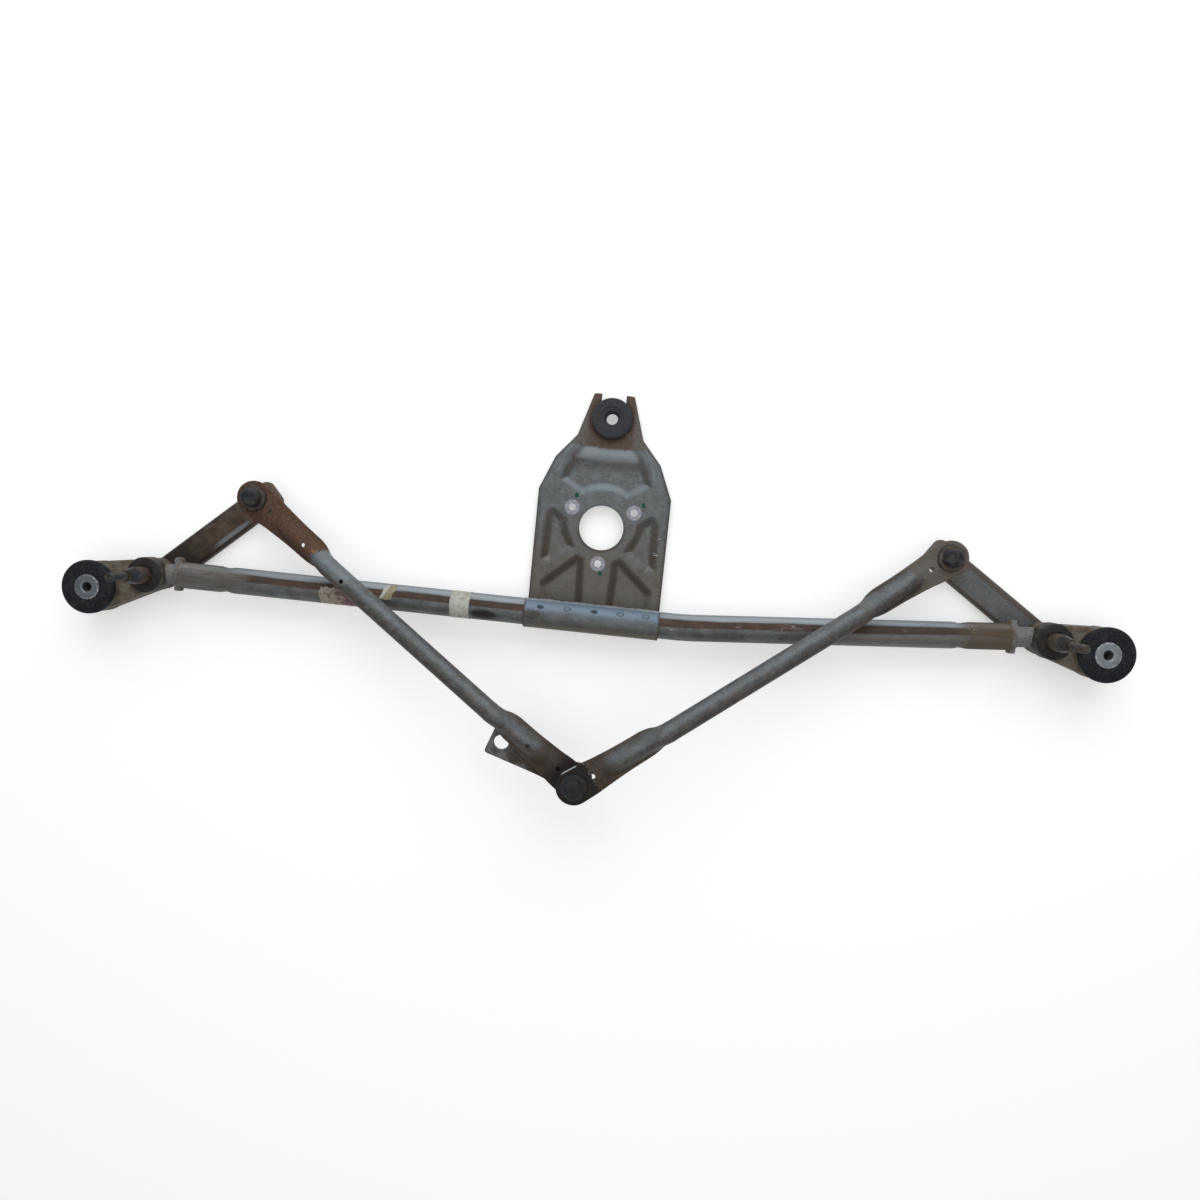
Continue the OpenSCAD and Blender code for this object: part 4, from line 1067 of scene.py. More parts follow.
def cast_finish():
    """Dirty cast alloy: pitted, caked with brown dirt, paler on its necks and high places, darker low down."""
    tint = colours()
    finish = Finish("housing_cast")
    pits = finish.noise(1.1, 4)
    blots = finish.noise(8, 4)
    x = finish.part(0)
    z = finish.part(2)
    base = finish.mix(finish.step(blots, 0.36, 0.62), blend(tint.mud, tint.dark_dirt_and_shade, 0.25), tint.cast)
    base = finish.mix(finish.step(pits, 0.52, 0.7) * 0.5, base, tint.dark_dirt_and_shade)
    rough_x = x + (blots - 0.5) * 8.0
    tube_end = tube_axis(TUBE_END)[0].x
    necks = finish.band(rough_x, LEFT_SPINDLE.x + 15.5, TUBE_LEFT - 2, 2)
    necks = necks.most(finish.band(rough_x, tube_end + 2, RIGHT_SPINDLE.x - 15.5, 2))
    base = finish.mix(necks * finish.drop(pits, 0.42, 0.6) * 0.85, base, tint.zinc_light)
    high = finish.step(z + (blots - 0.5) * 9.0, 15, 24)
    base = finish.mix(finish.drop(z + (blots - 0.5) * 8.0, 0, 13) * 0.6, base, tint.dark_dirt_and_shade)
    base = finish.mix(high * finish.drop(pits, 0.3, 0.45) * 0.45, base, tint.zinc_light)
    return finish.finish(base, 0.6 + 0.22 * pits, 0.15 * high, pits + blots * 0.7, 0.4)


def arm_filler(boss, mount):
    """A block that levels the front of a housing's arm, clear of the bores at its two ends."""
    ahead = (mount - boss).to_2d()
    across = Vector((-ahead.y, ahead.x)).normalized()
    bm = bmesh.new()
    corners = []
    for place, half in ((boss, 13.6), (mount, 22.6)):
        for turn in (1, -1):
            spot = place.to_2d() + turn * half * across
            corners += [bm.verts.new((spot.x, spot.y, z)) for z in (12.0, 18.6)]
    bmesh.ops.convex_hull(bm, input=corners)
    bmesh.ops.recalc_face_normals(bm, faces=bm.faces[:])
    cutter = bmesh.new()
    for place, radius in ((boss, 10.6), (mount, 18.2)):
        add_cylinder(cutter, (place.x, place.y, TUBE_Z), (0, 0, 1), radius, 60)
    return cut_away(bm, cutter)


class LINKAGE_OT_housings(Operator):
    """Builds the cast spindle housings with the fillets and the pads of a casting"""
    bl_idname = "linkage.housings"
    bl_label = "Spindle housings"

    def execute(self, context):
        cast = cast_finish()
        ends = (("left", LEFT_SPINDLE, TUBE_LEFT - 3.5, 12.5), ("right", RIGHT_SPINDLE, TUBE_END + 3.5, 10.0))
        for side, boss, along, reach in ends:
            node = side + "_housing"
            blank = merged_copy(node)
            low, high = node_box(side + "_mount_sleeve")
            join(blank, arm_filler(boss, (low + high) / 2))
            pad = tube_point(along, math.radians(90), reach)
            add_cylinder(blank, (pad.x, pad.y, TUBE_Z + 0.5), (0, 0, 1), 4.3, 9.0)
            holder = link_blank(blank)
            blank.free()
            remesh = holder.modifiers.new("grain", "REMESH")
            remesh.mode = "VOXEL"
            remesh.voxel_size = mm(shapes().cast_grain)
            bm = modified(holder)
            drop_blank(holder)
            for count in range(4):
                bmesh.ops.smooth_vert(bm, verts=bm.verts, factor=0.5, use_axis_x=True, use_axis_y=True,
                                      use_axis_z=True)
            finish_piece(side + "_casting", bm, "frame", cast, (node,), angle=60)
        return {"FINISHED"}


def plastic_finish(name, base, dusty, centre):
    """Mottled moulded plastic with dust; brown dust lies on the flange round the centre."""
    tint = colours()
    finish = Finish(name)
    fine = finish.noise(0.9, 3)
    cloud = finish.noise(6, 4)
    skin = finish.mix(finish.step(cloud, 0.35, 0.68), blend(base, tint.rubber, 0.45), base)
    skin = finish.mix(finish.step(cloud + fine * 0.4, 0.6, 0.9) * dusty, skin, tint.dust)
    reach = finish.distance(centre.x, centre.y) + (fine - 0.5) * 1.5
    ledge = finish.band(reach, 8.9, 11.8, 0.5) * (0.45 + 0.4 * finish.step(cloud, 0.4, 0.6))
    skin = finish.mix(ledge * min(2.2 * dusty, 1.0), skin, tint.mud)
    return finish.finish(skin, 0.46 + 0.28 * fine, 0.0, fine + cloud * 0.4, 0.08, specular=0.25)


def cap_finish():
    """Dark plastic cap: dusty brown round its side, black on its front."""
    tint = colours()
    finish = Finish("cap_plastic")
    fine = finish.noise(0.9, 3)
    cloud = finish.noise(6, 4)
    top = node_box("left_boss_cap")[1].z
    skin = finish.mix(finish.step(cloud, 0.35, 0.68), tint.cap, blend(tint.cap, tint.dust, 0.5))
    skin = finish.mix(finish.step(cloud + fine * 0.4, 0.6, 0.9) * 0.4, skin, tint.dust)
    front = finish.step(finish.part(2) + (fine - 0.5) * 1.2, top - 2.2, top - 1.0)
    skin = finish.mix(front * 0.85, skin, finish.mix(finish.step(cloud, 0.5, 0.7) * 0.3, tint.grease, tint.cap))
    return finish.finish(skin, 0.5 + 0.28 * fine, 0.0, fine + cloud * 0.4, 0.08, specular=0.25)


def plain_metal(name, light, dark, metallic):
    finish = Finish(name)
    coat, speck = cloudy(finish, light, dark, 5)
    return finish.finish(coat, 0.4 + 0.2 * speck, metallic, speck, 0.06)


class LINKAGE_OT_caps_and_bushes(Operator):
    """Finishes the boss caps, the bushes, the washers and the retaining rings"""
    bl_idname = "linkage.caps_and_bushes"
    bl_label = "Caps, bushes and washers"

    def execute(self, context):
        tint = colours()
        width = mm(shapes().edge_round)
        cap = cap_finish()
        bush = plain_metal("bush_metal", tint.bush, tint.mud, 0.6)
        washer = plain_metal("washer_steel", tint.zinc_light, tint.zinc_dark, 0.7)
        for side in ("left", "right"):
            soften(side + "_boss_cap", cap, width)
            soften(side + "_bushes", bush, 0.5 * width)
            soften(side + "_washers", washer, 0.3 * width)
            soften(side + "_circlip", washer, 0.3 * width)
        return {"FINISHED"}


# Spindles

SPINDLE_SHAFT = 8.0
TAPER_LOW = 46.0
TAPER_HIGH = 60.0
TAPER_TIP = 5.5
THREAD_LOW = 61.5
THREAD_HIGH = 86.0
THREAD_R = 4.0


def spindle_radius(z, angle, number):
    """Radius of the spindle above its washers, with serrations on the taper and a helical thread."""
    sizes = shapes()
    if z <= TAPER_LOW:
        return SPINDLE_SHAFT - 0.4 * smooth_step(TAPER_LOW - 0.6, TAPER_LOW, z)
    if z <= TAPER_HIGH:
        share = (z - TAPER_LOW) / (TAPER_HIGH - TAPER_LOW)
        cone = SPINDLE_SHAFT + (TAPER_TIP - SPINDLE_SHAFT) * share
        cut = smooth_step(0, 0.12, share) * (1 - smooth_step(0.92, 1, share))
        return cone - mm(sizes.tooth_depth) * cut * (number % 2)
    if z <= THREAD_LOW:
        return THREAD_R - 0.5
    turn = (z / mm(sizes.thread_pitch) - angle / (2 * math.pi)) % 1.0
    groove = mm(sizes.thread_depth) * abs(2 * turn - 1)
    ends = smooth_step(THREAD_LOW, THREAD_LOW + 1, z) * (1 - smooth_step(THREAD_HIGH - 1.4, THREAD_HIGH, z))
    return THREAD_R - groove - (1 - ends) * 0.5


def spindle_stations(foot):
    """Heights of the rings along a spindle."""
    heights = [foot, TAPER_LOW - 0.6, TAPER_LOW - 0.3, TAPER_LOW]
    heights += [TAPER_LOW + (TAPER_HIGH - TAPER_LOW) * k / 14 for k in range(1, 15)]
    heights += [TAPER_HIGH + 0.05, THREAD_LOW]
    count = 150
    heights += [THREAD_LOW + (THREAD_HIGH - THREAD_LOW) * k / count for k in range(1, count + 1)]
    return heights


def spindle_finish(name, centre, rust, dirt):
    """Rust at the cap, a grey-brown collar, dark serrations with pale crests, a dark thread, and dirt on it."""
    tint = colours()
    finish = Finish(name)
    z = finish.part(2)
    fine = finish.noise(0.8, 3)
    cloud = finish.noise(4, 4)
    reach = finish.distance(centre.x, centre.y)
    steel = finish.mix(finish.step(cloud, 0.4, 0.6), blend(tint.zinc_dark, tint.grease, 0.2),
                       blend(tint.zinc_dark, tint.grease, 0.7))
    soiled = finish.mix(finish.step(fine, 0.42, 0.62), tint.dark_dirt_and_shade, blend(tint.mud, tint.zinc_dark, 0.5))
    collar = finish.drop(z + (cloud - 0.5) * 3.0, 45.5, 46.5)
    base = finish.mix(collar, steel, soiled)
    rusty = finish.drop(z + (cloud - 0.5) * 5.0, 35, 38)
    base = finish.mix(rusty * rust, base, finish.mix(finish.step(cloud, 0.4, 0.6), tint.rust_dark, tint.rust))
    lean = (SPINDLE_SHAFT - TAPER_TIP) / (TAPER_HIGH - TAPER_LOW)
    cone = SPINDLE_SHAFT - lean * (z - TAPER_LOW)
    teeth = finish.step(reach - cone, -0.4, -0.1) * finish.band(z, TAPER_LOW + 1.5, TAPER_HIGH - 0.8, 0.6)
    base = finish.mix(teeth * (0.25 + 0.6 * finish.step(fine, 0.44, 0.6)), base, tint.zinc_light)
    crest = finish.step(reach, 3.65, 3.95) * finish.step(z, 60.5, 61.5)
    base = finish.mix(crest * finish.step(fine, 0.4, 0.6) * 0.45, base, tint.zinc)
    base = finish.mix(finish.band(z, 59.2, 60.6, 0.3) * (0.65 * rust), base, tint.rust)
    base = finish.mix(finish.step(fine, 0.42, 0.58) * dirt, base, tint.mud)
    return finish.finish(base, 0.4 + 0.25 * collar + 0.1 * fine, 0.55 - 0.45 * collar, fine + cloud * 0.4, 0.12)


class LINKAGE_OT_spindles(Operator):
    """Builds the spindles with their serrated tapers and threads"""
    bl_idname = "linkage.spindles"
    bl_label = "Spindles"

    def execute(self, context):
        sides = 2 * shapes().teeth
        for side, centre, rust, dirt in (("left", LEFT_SPINDLE, 0.8, 0.1), ("right", RIGHT_SPINDLE, 0.2, 0.55)):
            node = side + "_spindle"
            foot = node_box(node)[0].z
            bm = bmesh.new()
            rings = []
            for z in spindle_stations(foot):
                angles = [2 * math.pi * k / sides for k in range(sides)]
                radii = [spindle_radius(z, a, k) for k, a in enumerate(angles)]
                rings.append([Vector((centre.x + r * math.cos(a), centre.y + r * math.sin(a), z))
                              for r, a in zip(radii, angles)])
            rows = sweep(bm, rings)
            close_ends(bm, rows)
            steel = spindle_finish(side + "_spindle_steel", centre, rust, dirt)
            finish_piece(side + "_spindle_turned", bm, side + "_rocker", steel, (node,), angle=28)
        return {"FINISHED"}


# Levers


def lever_blank(bm, centre, ball):
    """Pressed lever: a block with rounded corners, its back taken off and its front edge rolled."""
    sizes = shapes()
    half = mm(sizes.lever_w) / 2
    reach = (ball - centre).to_2d().length
    low, high = -half - 1, reach + 14
    depth = mm(sizes.lever_rim)
    block = Matrix.Translation(((low + high) / 2, 0, -depth / 2)) @ Matrix.Diagonal((high - low, 2 * half, depth, 1))
    bmesh.ops.create_cube(bm, size=1, matrix=block)
    posts = [e for e in bm.edges if abs(e.verts[0].co.z - e.verts[1].co.z) > 1]
    for place, radius in ((low, half - 1), (high, 7.0)):
        chosen = [e for e in posts if e.is_valid and abs(e.verts[0].co.x - place) < 0.1]
        bmesh.ops.bevel(bm, geom=chosen, offset=radius, offset_type="OFFSET", affect="EDGES", segments=9, profile=0.5,
                        material=-1, clamp_overlap=True)
        posts = [e for e in bm.edges if abs(e.verts[0].co.z - e.verts[1].co.z) > 1]
    front = [e for e in bm.edges if all(v.co.z > -0.01 for v in e.verts)]
    bmesh.ops.bevel(bm, geom=front, offset=4.0, offset_type="OFFSET", affect="EDGES", segments=6, profile=0.5,
                    material=-1, clamp_overlap=True)
    back = [f for f in bm.faces if f.normal.z < -0.9]
    bmesh.ops.delete(bm, geom=back, context="FACES")
    bmesh.ops.recalc_face_normals(bm, faces=bm.faces[:])
    flat = max(bm.faces, key=lambda f: f.calc_area() * abs(f.normal.z))
    if flat.normal.z < 0:
        bmesh.ops.reverse_faces(bm, faces=bm.faces[:])
    bmesh.ops.solidify(bm, geom=bm.faces[:], thickness=mm(sizes.lever_t))
    ahead = (ball - centre).to_2d()
    turn = Matrix.Rotation(math.atan2(ahead.y, ahead.x), 4, "Z")
    bmesh.ops.transform(bm, verts=bm.verts, matrix=Matrix.Translation((centre.x, centre.y, LEVER_TOP)) @ turn)


def lever_finish(name, centre, ball, worn):
    """Pressed steel lever: brown and greasy where worn, with a greyish painted highlight along its upper edge and a
    pale one along its lower edge; else grey with brown edges and dark specks.
    """
    tint = colours()
    finish = Finish(name)
    ahead = (ball - centre).to_2d().normalized()
    along = finish.dot((centre.x, centre.y, 0), (ahead.x, ahead.y, 0))
    turn = 1 if ahead.x > 0 else -1
    across = finish.dot((centre.x, centre.y, 0), (-ahead.y * turn, ahead.x * turn, 0))
    blots = finish.noise(10, 4)
    fine = finish.noise(2.2, 4)
    edge = finish.step(abs(across) + (fine - 0.5) * 3.0, 9.5, 12.5)
    if worn:
        speck = finish.noise(0.7, 2)
        coat = finish.mix(finish.step(blots, 0.38, 0.64), blend(tint.dark_dirt_and_shade, tint.rust_dark, 0.5),
                          blend(tint.mud, tint.rust_dark, 0.5))
        coat = finish.mix(finish.step(fine, 0.5, 0.66) * 0.45, coat, tint.dark_dirt_and_shade)
        coat = finish.mix(edge * 0.45, coat, tint.grease)
        # Greyish painted highlight along the upper edge
        upper = finish.band(across + (fine - 0.5) * 2.0, 8, 11, 1.5) * finish.step(blots, 0.42, 0.6)
        coat = finish.mix(upper * 0.4, coat, tint.zinc_dark)
        hub = finish.drop(along + (blots - 0.5) * 24.0, 34, 60)
        coat = finish.mix(hub * 0.7, coat, tint.grease)
        # Pale painted highlight along the lower edge
        streak = finish.band(across, -11.2, -7.4, 1.2) * finish.band(along + (fine - 0.5) * 16.0, 62, 104, 8)
        coat = finish.mix(streak * 0.8, coat, tint.zinc_light)
        tip = finish.step(along + (fine - 0.5) * 8.0, 96, 104)
        coat = finish.mix(tip * 0.75, coat, blend(tint.mud, tint.rust, 0.45))
        metal = 0.06 + 0.4 * streak
    else:
        coat, speck = cloudy(finish, blend(tint.zinc, tint.mud, 0.12), blend(tint.zinc, tint.zinc_dark, 0.35), 9)
        coat = finish.mix(finish.step(fine, 0.6, 0.7) * 0.6, coat, tint.dark_dirt_and_shade)
        coat = finish.mix(finish.step(blots, 0.52, 0.68) * 0.35, coat, tint.mud)
        upper = finish.step(across + (fine - 0.5) * 3.0, 6.5, 9.0)
        coat = finish.mix(edge.most(upper) * 0.75, coat, blend(tint.dark_dirt_and_shade, tint.mud, 0.35))
        tip = finish.step(along + (blots - 0.5) * 14.0, 84, 100)
        coat = finish.mix(tip * 0.5, coat, tint.mud)
        metal = 0.4 - 0.35 * edge.most(upper)
    return finish.finish(coat, 0.46 + 0.2 * speck, metal, speck + fine * 0.6, 0.15)


class LINKAGE_OT_levers(Operator):
    """Builds the pressed levers and finishes their ball studs"""
    bl_idname = "linkage.levers"
    bl_label = "Levers"

    def execute(self, context):
        tint = colours()
        stud = plain_metal("stud_steel", tint.zinc_light, tint.zinc, 0.8)
        for side, centre, ball in (("left", LEFT_SPINDLE, LEFT_BALL), ("right", RIGHT_SPINDLE, RIGHT_BALL)):
            bm = bmesh.new()
            lever_blank(bm, centre, ball)
            finish = lever_finish(side + "_lever_steel", centre, ball, side == "left")
            finish_piece(side + "_lever_pressed", bm, side + "_rocker", finish,
                         (side + "_lever_arm",))
            soften(side + "_ball_stud", stud, 0.2)
        return {"FINISHED"}


# Push rods

BEND_AT = 26.0
TUBE_FROM = 100.0
TUBE_LIFT = 1.0
ARC_STEPS = 20
# Along the rod from its ball: half width, half width and height of the bulge, and how round the section is
STATIONS = [(0, 16.2, 5.0, 0.05, 0), (6, 16.0, 5.0, 0.05, 0), (18, 15.4, 5.0, 0.05, 0), (28, 14.4, 4.8, 0.1, 0),
            (32, 14.1, 5.6, 1.4, 0), (37, 13.7, 7.0, 4.4, 0), (44, 13.3, 7.9, 7.4, 0), (54, 12.8, 8.3, 9.6, 0),
            (64, 12.6, 8.4, 11, 0), (76, 12.4, 8.5, 12.2, 0), (85, 11.6, 8.7, 13.8, 0.2), (92, 10.2, 9.0, 16.2, 0.65),
            (99, 9.2, 9.2, 18.4, 1), (103, 9.2, 9.2, 18.4, 1)]
SOCKET_HOLE_R = 9.45


def station_at(along):
    """Values of the section at a place, run smoothly through the stations and round the eye."""
    if along < 0:
        half = math.sqrt(mm(shapes().eye_r) ** 2 - along ** 2)
        return [half, min(5.0, 0.6 * half), 0.05, 0]
    for number, (low, high) in enumerate(zip(STATIONS, STATIONS[1:])):
        if along <= high[0]:
            break
    before = STATIONS[max(number - 1, 0)]
    after = STATIONS[min(number + 2, len(STATIONS) - 1)]
    t = (along - low[0]) / (high[0] - low[0])
    values = []
    for a, b, c, d in zip(before[1:], low[1:], high[1:], after[1:]):
        steep_low = 0.5 * (c - a)
        steep_high = 0.5 * (d - b)
        if (c - b) * steep_low <= 0:
            steep_low = 0.0
        if (c - b) * steep_high <= 0:
            steep_high = 0.0
        cap = 3 * abs(c - b)
        steep_low = max(-cap, min(cap, steep_low))
        steep_high = max(-cap, min(cap, steep_high))
        values.append((2 * t ** 3 - 3 * t ** 2 + 1) * b + (t ** 3 - 2 * t ** 2 + t) * steep_low
                      + (3 * t ** 2 - 2 * t ** 3) * c + (t ** 3 - t ** 2) * steep_high)
    return values


def rod_section(along):
    """Section of a pressed end across the rod: (sideways, up) from the rear of its flat."""
    half, bulge, rise, share = station_at(along)
    thick = mm(shapes().flat_t)
    angles = [math.pi * k / ARC_STEPS for k in range(ARC_STEPS + 1)]
    flare = min(2.2, max(half - bulge - 1.2, 0.1)) * smooth_step(0.3, 4.0, rise)

    def arch(width, low):
        rows = []
        for a in angles:
            lift = max(math.sin(a), 0.0)
            rows.append(((width + flare * (1 - lift) ** 2) * math.cos(a), low + rise * lift ** 1.3))
        return rows

    hat = [(half, thick - 0.5), (half - 0.5, thick)] + arch(bulge, thick)
    hat += [(0.5 - half, thick), (-half, thick - 0.5), (-half, 0.0)]
    hat += arch(bulge - 1, 0.0)[::-1] + [(half, 0.0)]
    radius = mm(shapes().rod_d) / 2
    around = [-24, -14] + [180 * k / ARC_STEPS for k in range(ARC_STEPS + 1)] + [194, 204, 215]
    around += [230 + 80 * k / ARC_STEPS for k in range(ARC_STEPS + 1)] + [325]
    swollen = radius + 0.15
    tube = [(swollen * math.cos(math.radians(a)), TUBE_LIFT + radius + swollen * math.sin(math.radians(a)))
            for a in around]
    return [(h[0] * (1 - share) + t[0] * share, h[1] * (1 - share) + t[1] * share) for h, t in zip(hat, tube)]


def rod_end(slope, holes):
    """One pressed end along X from its round eye, with its holes cut through."""
    bm = bmesh.new()
    reach = mm(shapes().eye_r)
    places = [-reach * math.cos(math.radians(a)) for a in range(4, 91, 4)] + [1.5 * k for k in range(1, 69)]
    rings = []
    for along in places:
        lift = slope * max(along - BEND_AT, 0.0)
        rings.append([Vector((along, side, up + lift)) for side, up in rod_section(along)])
    rows = sweep(bm, rings)
    close_ends(bm, rows)
    cutter = bmesh.new()
    for along, radius in holes:
        add_cylinder(cutter, (along, 0, 20), (0, 0, 1), radius, 60, 48)
    return cut_away(bm, cutter)


def rod_tube(reach, slope, drain):
    """The rod's tube between its pressed ends, with one drain hole."""
    radius = mm(shapes().rod_d) / 2
    bm = bmesh.new()
    sides = 56
    lift = slope * (TUBE_FROM - BEND_AT) + TUBE_LIFT + radius
    rings = []
    for k in range(81):
        along = TUBE_FROM - 4 + (reach - 2 * TUBE_FROM + 8) * k / 80
        up = lift + slope * (along - TUBE_FROM)
        angles = [2 * math.pi * n / sides for n in range(sides)]
        rings.append([Vector((along, radius * math.cos(a), up + radius * math.sin(a))) for a in angles])
    sweep(bm, rings)
    bmesh.ops.recalc_face_normals(bm, faces=bm.faces[:])
    face = bm.faces[0]
    middle = face.calc_center_median()
    if face.normal.dot(middle - Vector((middle.x, 0, lift))) < 0:
        bmesh.ops.reverse_faces(bm, faces=bm.faces[:])
    bmesh.ops.solidify(bm, geom=bm.faces[:], thickness=mm(shapes().rod_wall))
    cutter = bmesh.new()
    along, side = drain
    add_cylinder(cutter, (along, 0, lift + slope * (along - TUBE_FROM) + side * radius), (0, 0, 1), 2.0, radius, 32)
    return cut_away(bm, cutter)


def rod_blank(ball, rise, drain_side, vents):
    """A whole push rod from its lever ball to the crank pin, in place."""
    reach = (CRANK_PIN - ball).to_2d().length
    slope = rise / (reach - 2 * BEND_AT)
    pressed_in = [(0.0, SOCKET_HOLE_R), (20.0, 2.4)]
    bm = rod_end(slope, pressed_in + [(v, 2.0) for v in vents if v < reach / 2])
    far = rod_end(-slope, pressed_in + [(reach - v, 2.0) for v in vents if v > reach / 2])
    bmesh.ops.scale(far, vec=(-1, 1, 1), verts=far.verts)
    bmesh.ops.reverse_faces(far, faces=far.faces[:])
    bmesh.ops.translate(far, vec=(reach, 0, rise), verts=far.verts)
    join(bm, far)
    join(bm, rod_tube(reach, slope, (119.0, drain_side)))
    ahead = (CRANK_PIN - ball).to_2d()
    turn = Matrix.Rotation(math.atan2(ahead.y, ahead.x), 4, "Z")
    flat = LEVER_FLAT - mm(shapes().flat_t)
    bmesh.ops.transform(bm, verts=bm.verts, matrix=Matrix.Translation((ball.x, ball.y, flat)) @ turn)
    return bm


def rod_finish(name, ball, rust_reach, brown_reach, black_reach, chipped):
    """Zinc rod: painted highlight along its upper side and painted shade along its lower side, rusty or soiled at the
    lever, brown and then black at the pin.
    """
    tint = colours()
    finish = Finish(name)
    ahead = (CRANK_PIN - ball).to_2d()
    reach = ahead.length
    ahead.normalize()
    turn = 1 if ahead.x > 0 else -1
    along = finish.dot((ball.x, ball.y, 0), (ahead.x, ahead.y, 0))
    lean = finish.dot((ball.x, ball.y, 0), (-ahead.y * turn, ahead.x * turn, 0))
    left = reach - along
    dull = blend(tint.zinc_dark, tint.dark_dirt_and_shade, 0.2 if chipped else 0.35)
    pale = blend(blend(tint.zinc, tint.mud, 0.2 if chipped else 0.35), tint.zinc_dark, 0.4)
    coat, speck = cloudy(finish, pale, dull, 8)
    blots = finish.noise(11, 4)
    fine = finish.noise(2.4, 4)
    mottle = finish.noise(1.5, 3, 0.7)
    wavy = lean + (blots - 0.5) * 5.0 + (fine - 0.5) * 3.0
    # Painted highlight along the upper side
    coat = finish.mix(finish.band(wavy, 2, 8, 2.5) * 0.4, coat, tint.zinc_light)
    coat = finish.mix(finish.step(mottle, 0.52, 0.66) * 0.4, coat, tint.zinc_dark)
    coat = finish.mix(finish.drop(mottle, 0.36, 0.46) * 0.3, coat, tint.zinc_light)
    coat = finish.mix(finish.step(blots, 0.5, 0.66) * 0.35, coat, tint.mud)
    # Painted shade along the lower side
    coat = finish.mix(finish.drop(wavy, -7.5, -0.5) * 0.66, coat, tint.dark_dirt_and_shade)
    ends = finish.drop(along.least(left), 80, 92)
    flange = finish.step(abs(lean) + (fine - 0.5) * 2.0, 9.4, 10.8) * ends
    coat = finish.mix(flange * 0.7, coat, blend(tint.dark_dirt_and_shade, tint.mud, 0.3))
    front = along - 0.05 * (lean + 2.0) ** 2.0 + (blots - 0.5) * 7.0 + (fine - 0.5) * 4.0
    if rust_reach > 40:
        # A pale band past the rust on the upper side, a painted highlight
        painted_highlight_band = finish.band(front, rust_reach, rust_reach + 42, 5) * finish.step(lean, -6, -1)
        coat = finish.mix(painted_highlight_band * 0.5, coat, tint.zinc_light)
        rusted = finish.drop(front, rust_reach - 1.5, rust_reach + 1.5)
        brown = finish.mix(finish.step(fine, 0.4, 0.64), blend(tint.rust_dark, tint.rust, 0.35), tint.rust)
        brown = finish.mix(finish.step(mottle, 0.5, 0.66) * 0.35, brown, tint.dark_dirt_and_shade)
        # Painted shade on the lower side of the rust
        brown = finish.mix(finish.drop(wavy, -9, -3) * 0.6, brown, tint.rust_dark)
        coat = finish.mix(rusted * 0.96, coat, brown)
        fresh = finish.band(front, rust_reach - 3.5, rust_reach + 0.5, 1.2) * finish.band(lean, 1, 7, 1.5)
        coat = finish.mix(fresh * 0.6 * finish.step(fine, 0.38, 0.56), coat, tint.rust_bright)
    else:
        rusted = finish.drop(front, rust_reach - 8, rust_reach + 12) * 0.75
        coat = finish.mix(rusted, coat, blend(tint.mud, tint.zinc_light, 0.2))
        coat = finish.mix(finish.drop(front, 6, 16) * finish.step(fine, 0.46, 0.6) * 0.6, coat, tint.rust)
    ragged = left + (blots - 0.5) * 12.0 + (fine - 0.5) * 5.0
    browned = finish.drop(ragged, brown_reach - 9, brown_reach + 9)
    coat = finish.mix(browned * 0.82, coat, blend(tint.dark_dirt_and_shade, tint.rust_dark, 0.4))
    if chipped:
        jagged = left + (fine - 0.5) * 12.0
        greased = finish.drop(jagged, black_reach - 1, black_reach + 1)
        coat = finish.mix(greased * 0.92, coat, tint.grease)
        chip = finish.band(jagged, black_reach + 0.2, black_reach + 1.6, 0.4) * finish.step(fine, 0.52, 0.62)
        coat = finish.mix(chip * 0.5, coat, tint.bright)
        bare = finish.step(lean + 0.03 * left, 15.5, 15.8) * finish.band(left, -6, 12, 1)
        coat = finish.mix(bare * 0.9, coat, tint.bright)
    else:
        greased = finish.drop(ragged, black_reach - 8, black_reach + 10)
        coat = finish.mix(greased * 0.92, coat, tint.grease)
    line = finish.noise(5, 1, stretch=(0.6, 0.6, 1.0), twist=0.4)
    scratch = finish.band(line, 0.498, 0.502, 0.002) * finish.step(finish.noise(18, 2), 0.6, 0.68)
    fleck = finish.step(finish.noise(1.6, 1), 0.76, 0.8)
    coat = finish.mix((scratch * 0.7).most(fleck * 0.7) * (1.0 - greased), coat, tint.bright)
    worn = rusted.most(browned)
    rough = 0.46 + 0.24 * worn + 0.12 * speck
    metal = 0.36 - 0.32 * worn.most(greased).most(flange)
    return finish.finish(coat, rough, metal, speck + fine * 0.7 + mottle * 0.6, 0.2)


class LINKAGE_OT_rods(Operator):
    """Builds the two push rods with their pressed ends"""
    bl_idname = "linkage.rods"
    bl_label = "Push rods"

    def execute(self, context):
        reach = (CRANK_PIN - LEFT_BALL).to_2d().length
        bm = rod_blank(LEFT_BALL, LEFT_CRANK_FLAT - LEVER_FLAT, 1, (68.0, reach - 55.0))
        finish_piece("left_push_rod", bm, "left_link",
                     rod_finish("left_rod_zinc", LEFT_BALL, 80, 46, 24, False), ("left_rod",))
        bm = rod_blank(RIGHT_BALL, RIGHT_CRANK_FLAT - LEVER_FLAT, -1, ())
        finish_piece("right_push_rod", bm, "right_link",
                     rod_finish("right_rod_zinc", RIGHT_BALL, 30, 38, 19, True), ("right_rod",))
        return {"FINISHED"}


class LINKAGE_OT_ball_joints(Operator):
    """Finishes the moulded ball sockets"""
    bl_idname = "linkage.ball_joints"
    bl_label = "Ball joints"

    def execute(self, context):
        tint = colours()
        width = 1.4 * mm(shapes().edge_round)
        for node, centre, dusty in (("left_lever_socket", LEFT_BALL, 0.28), ("right_lever_socket", RIGHT_BALL, 0.42),
                                    ("left_crank_socket", CRANK_PIN, 0.1), ("right_crank_socket", CRANK_PIN, 0.05)):
            soften(node, plastic_finish(node + "_plastic", tint.plastic, dusty, centre), width)
        return {"FINISHED"}


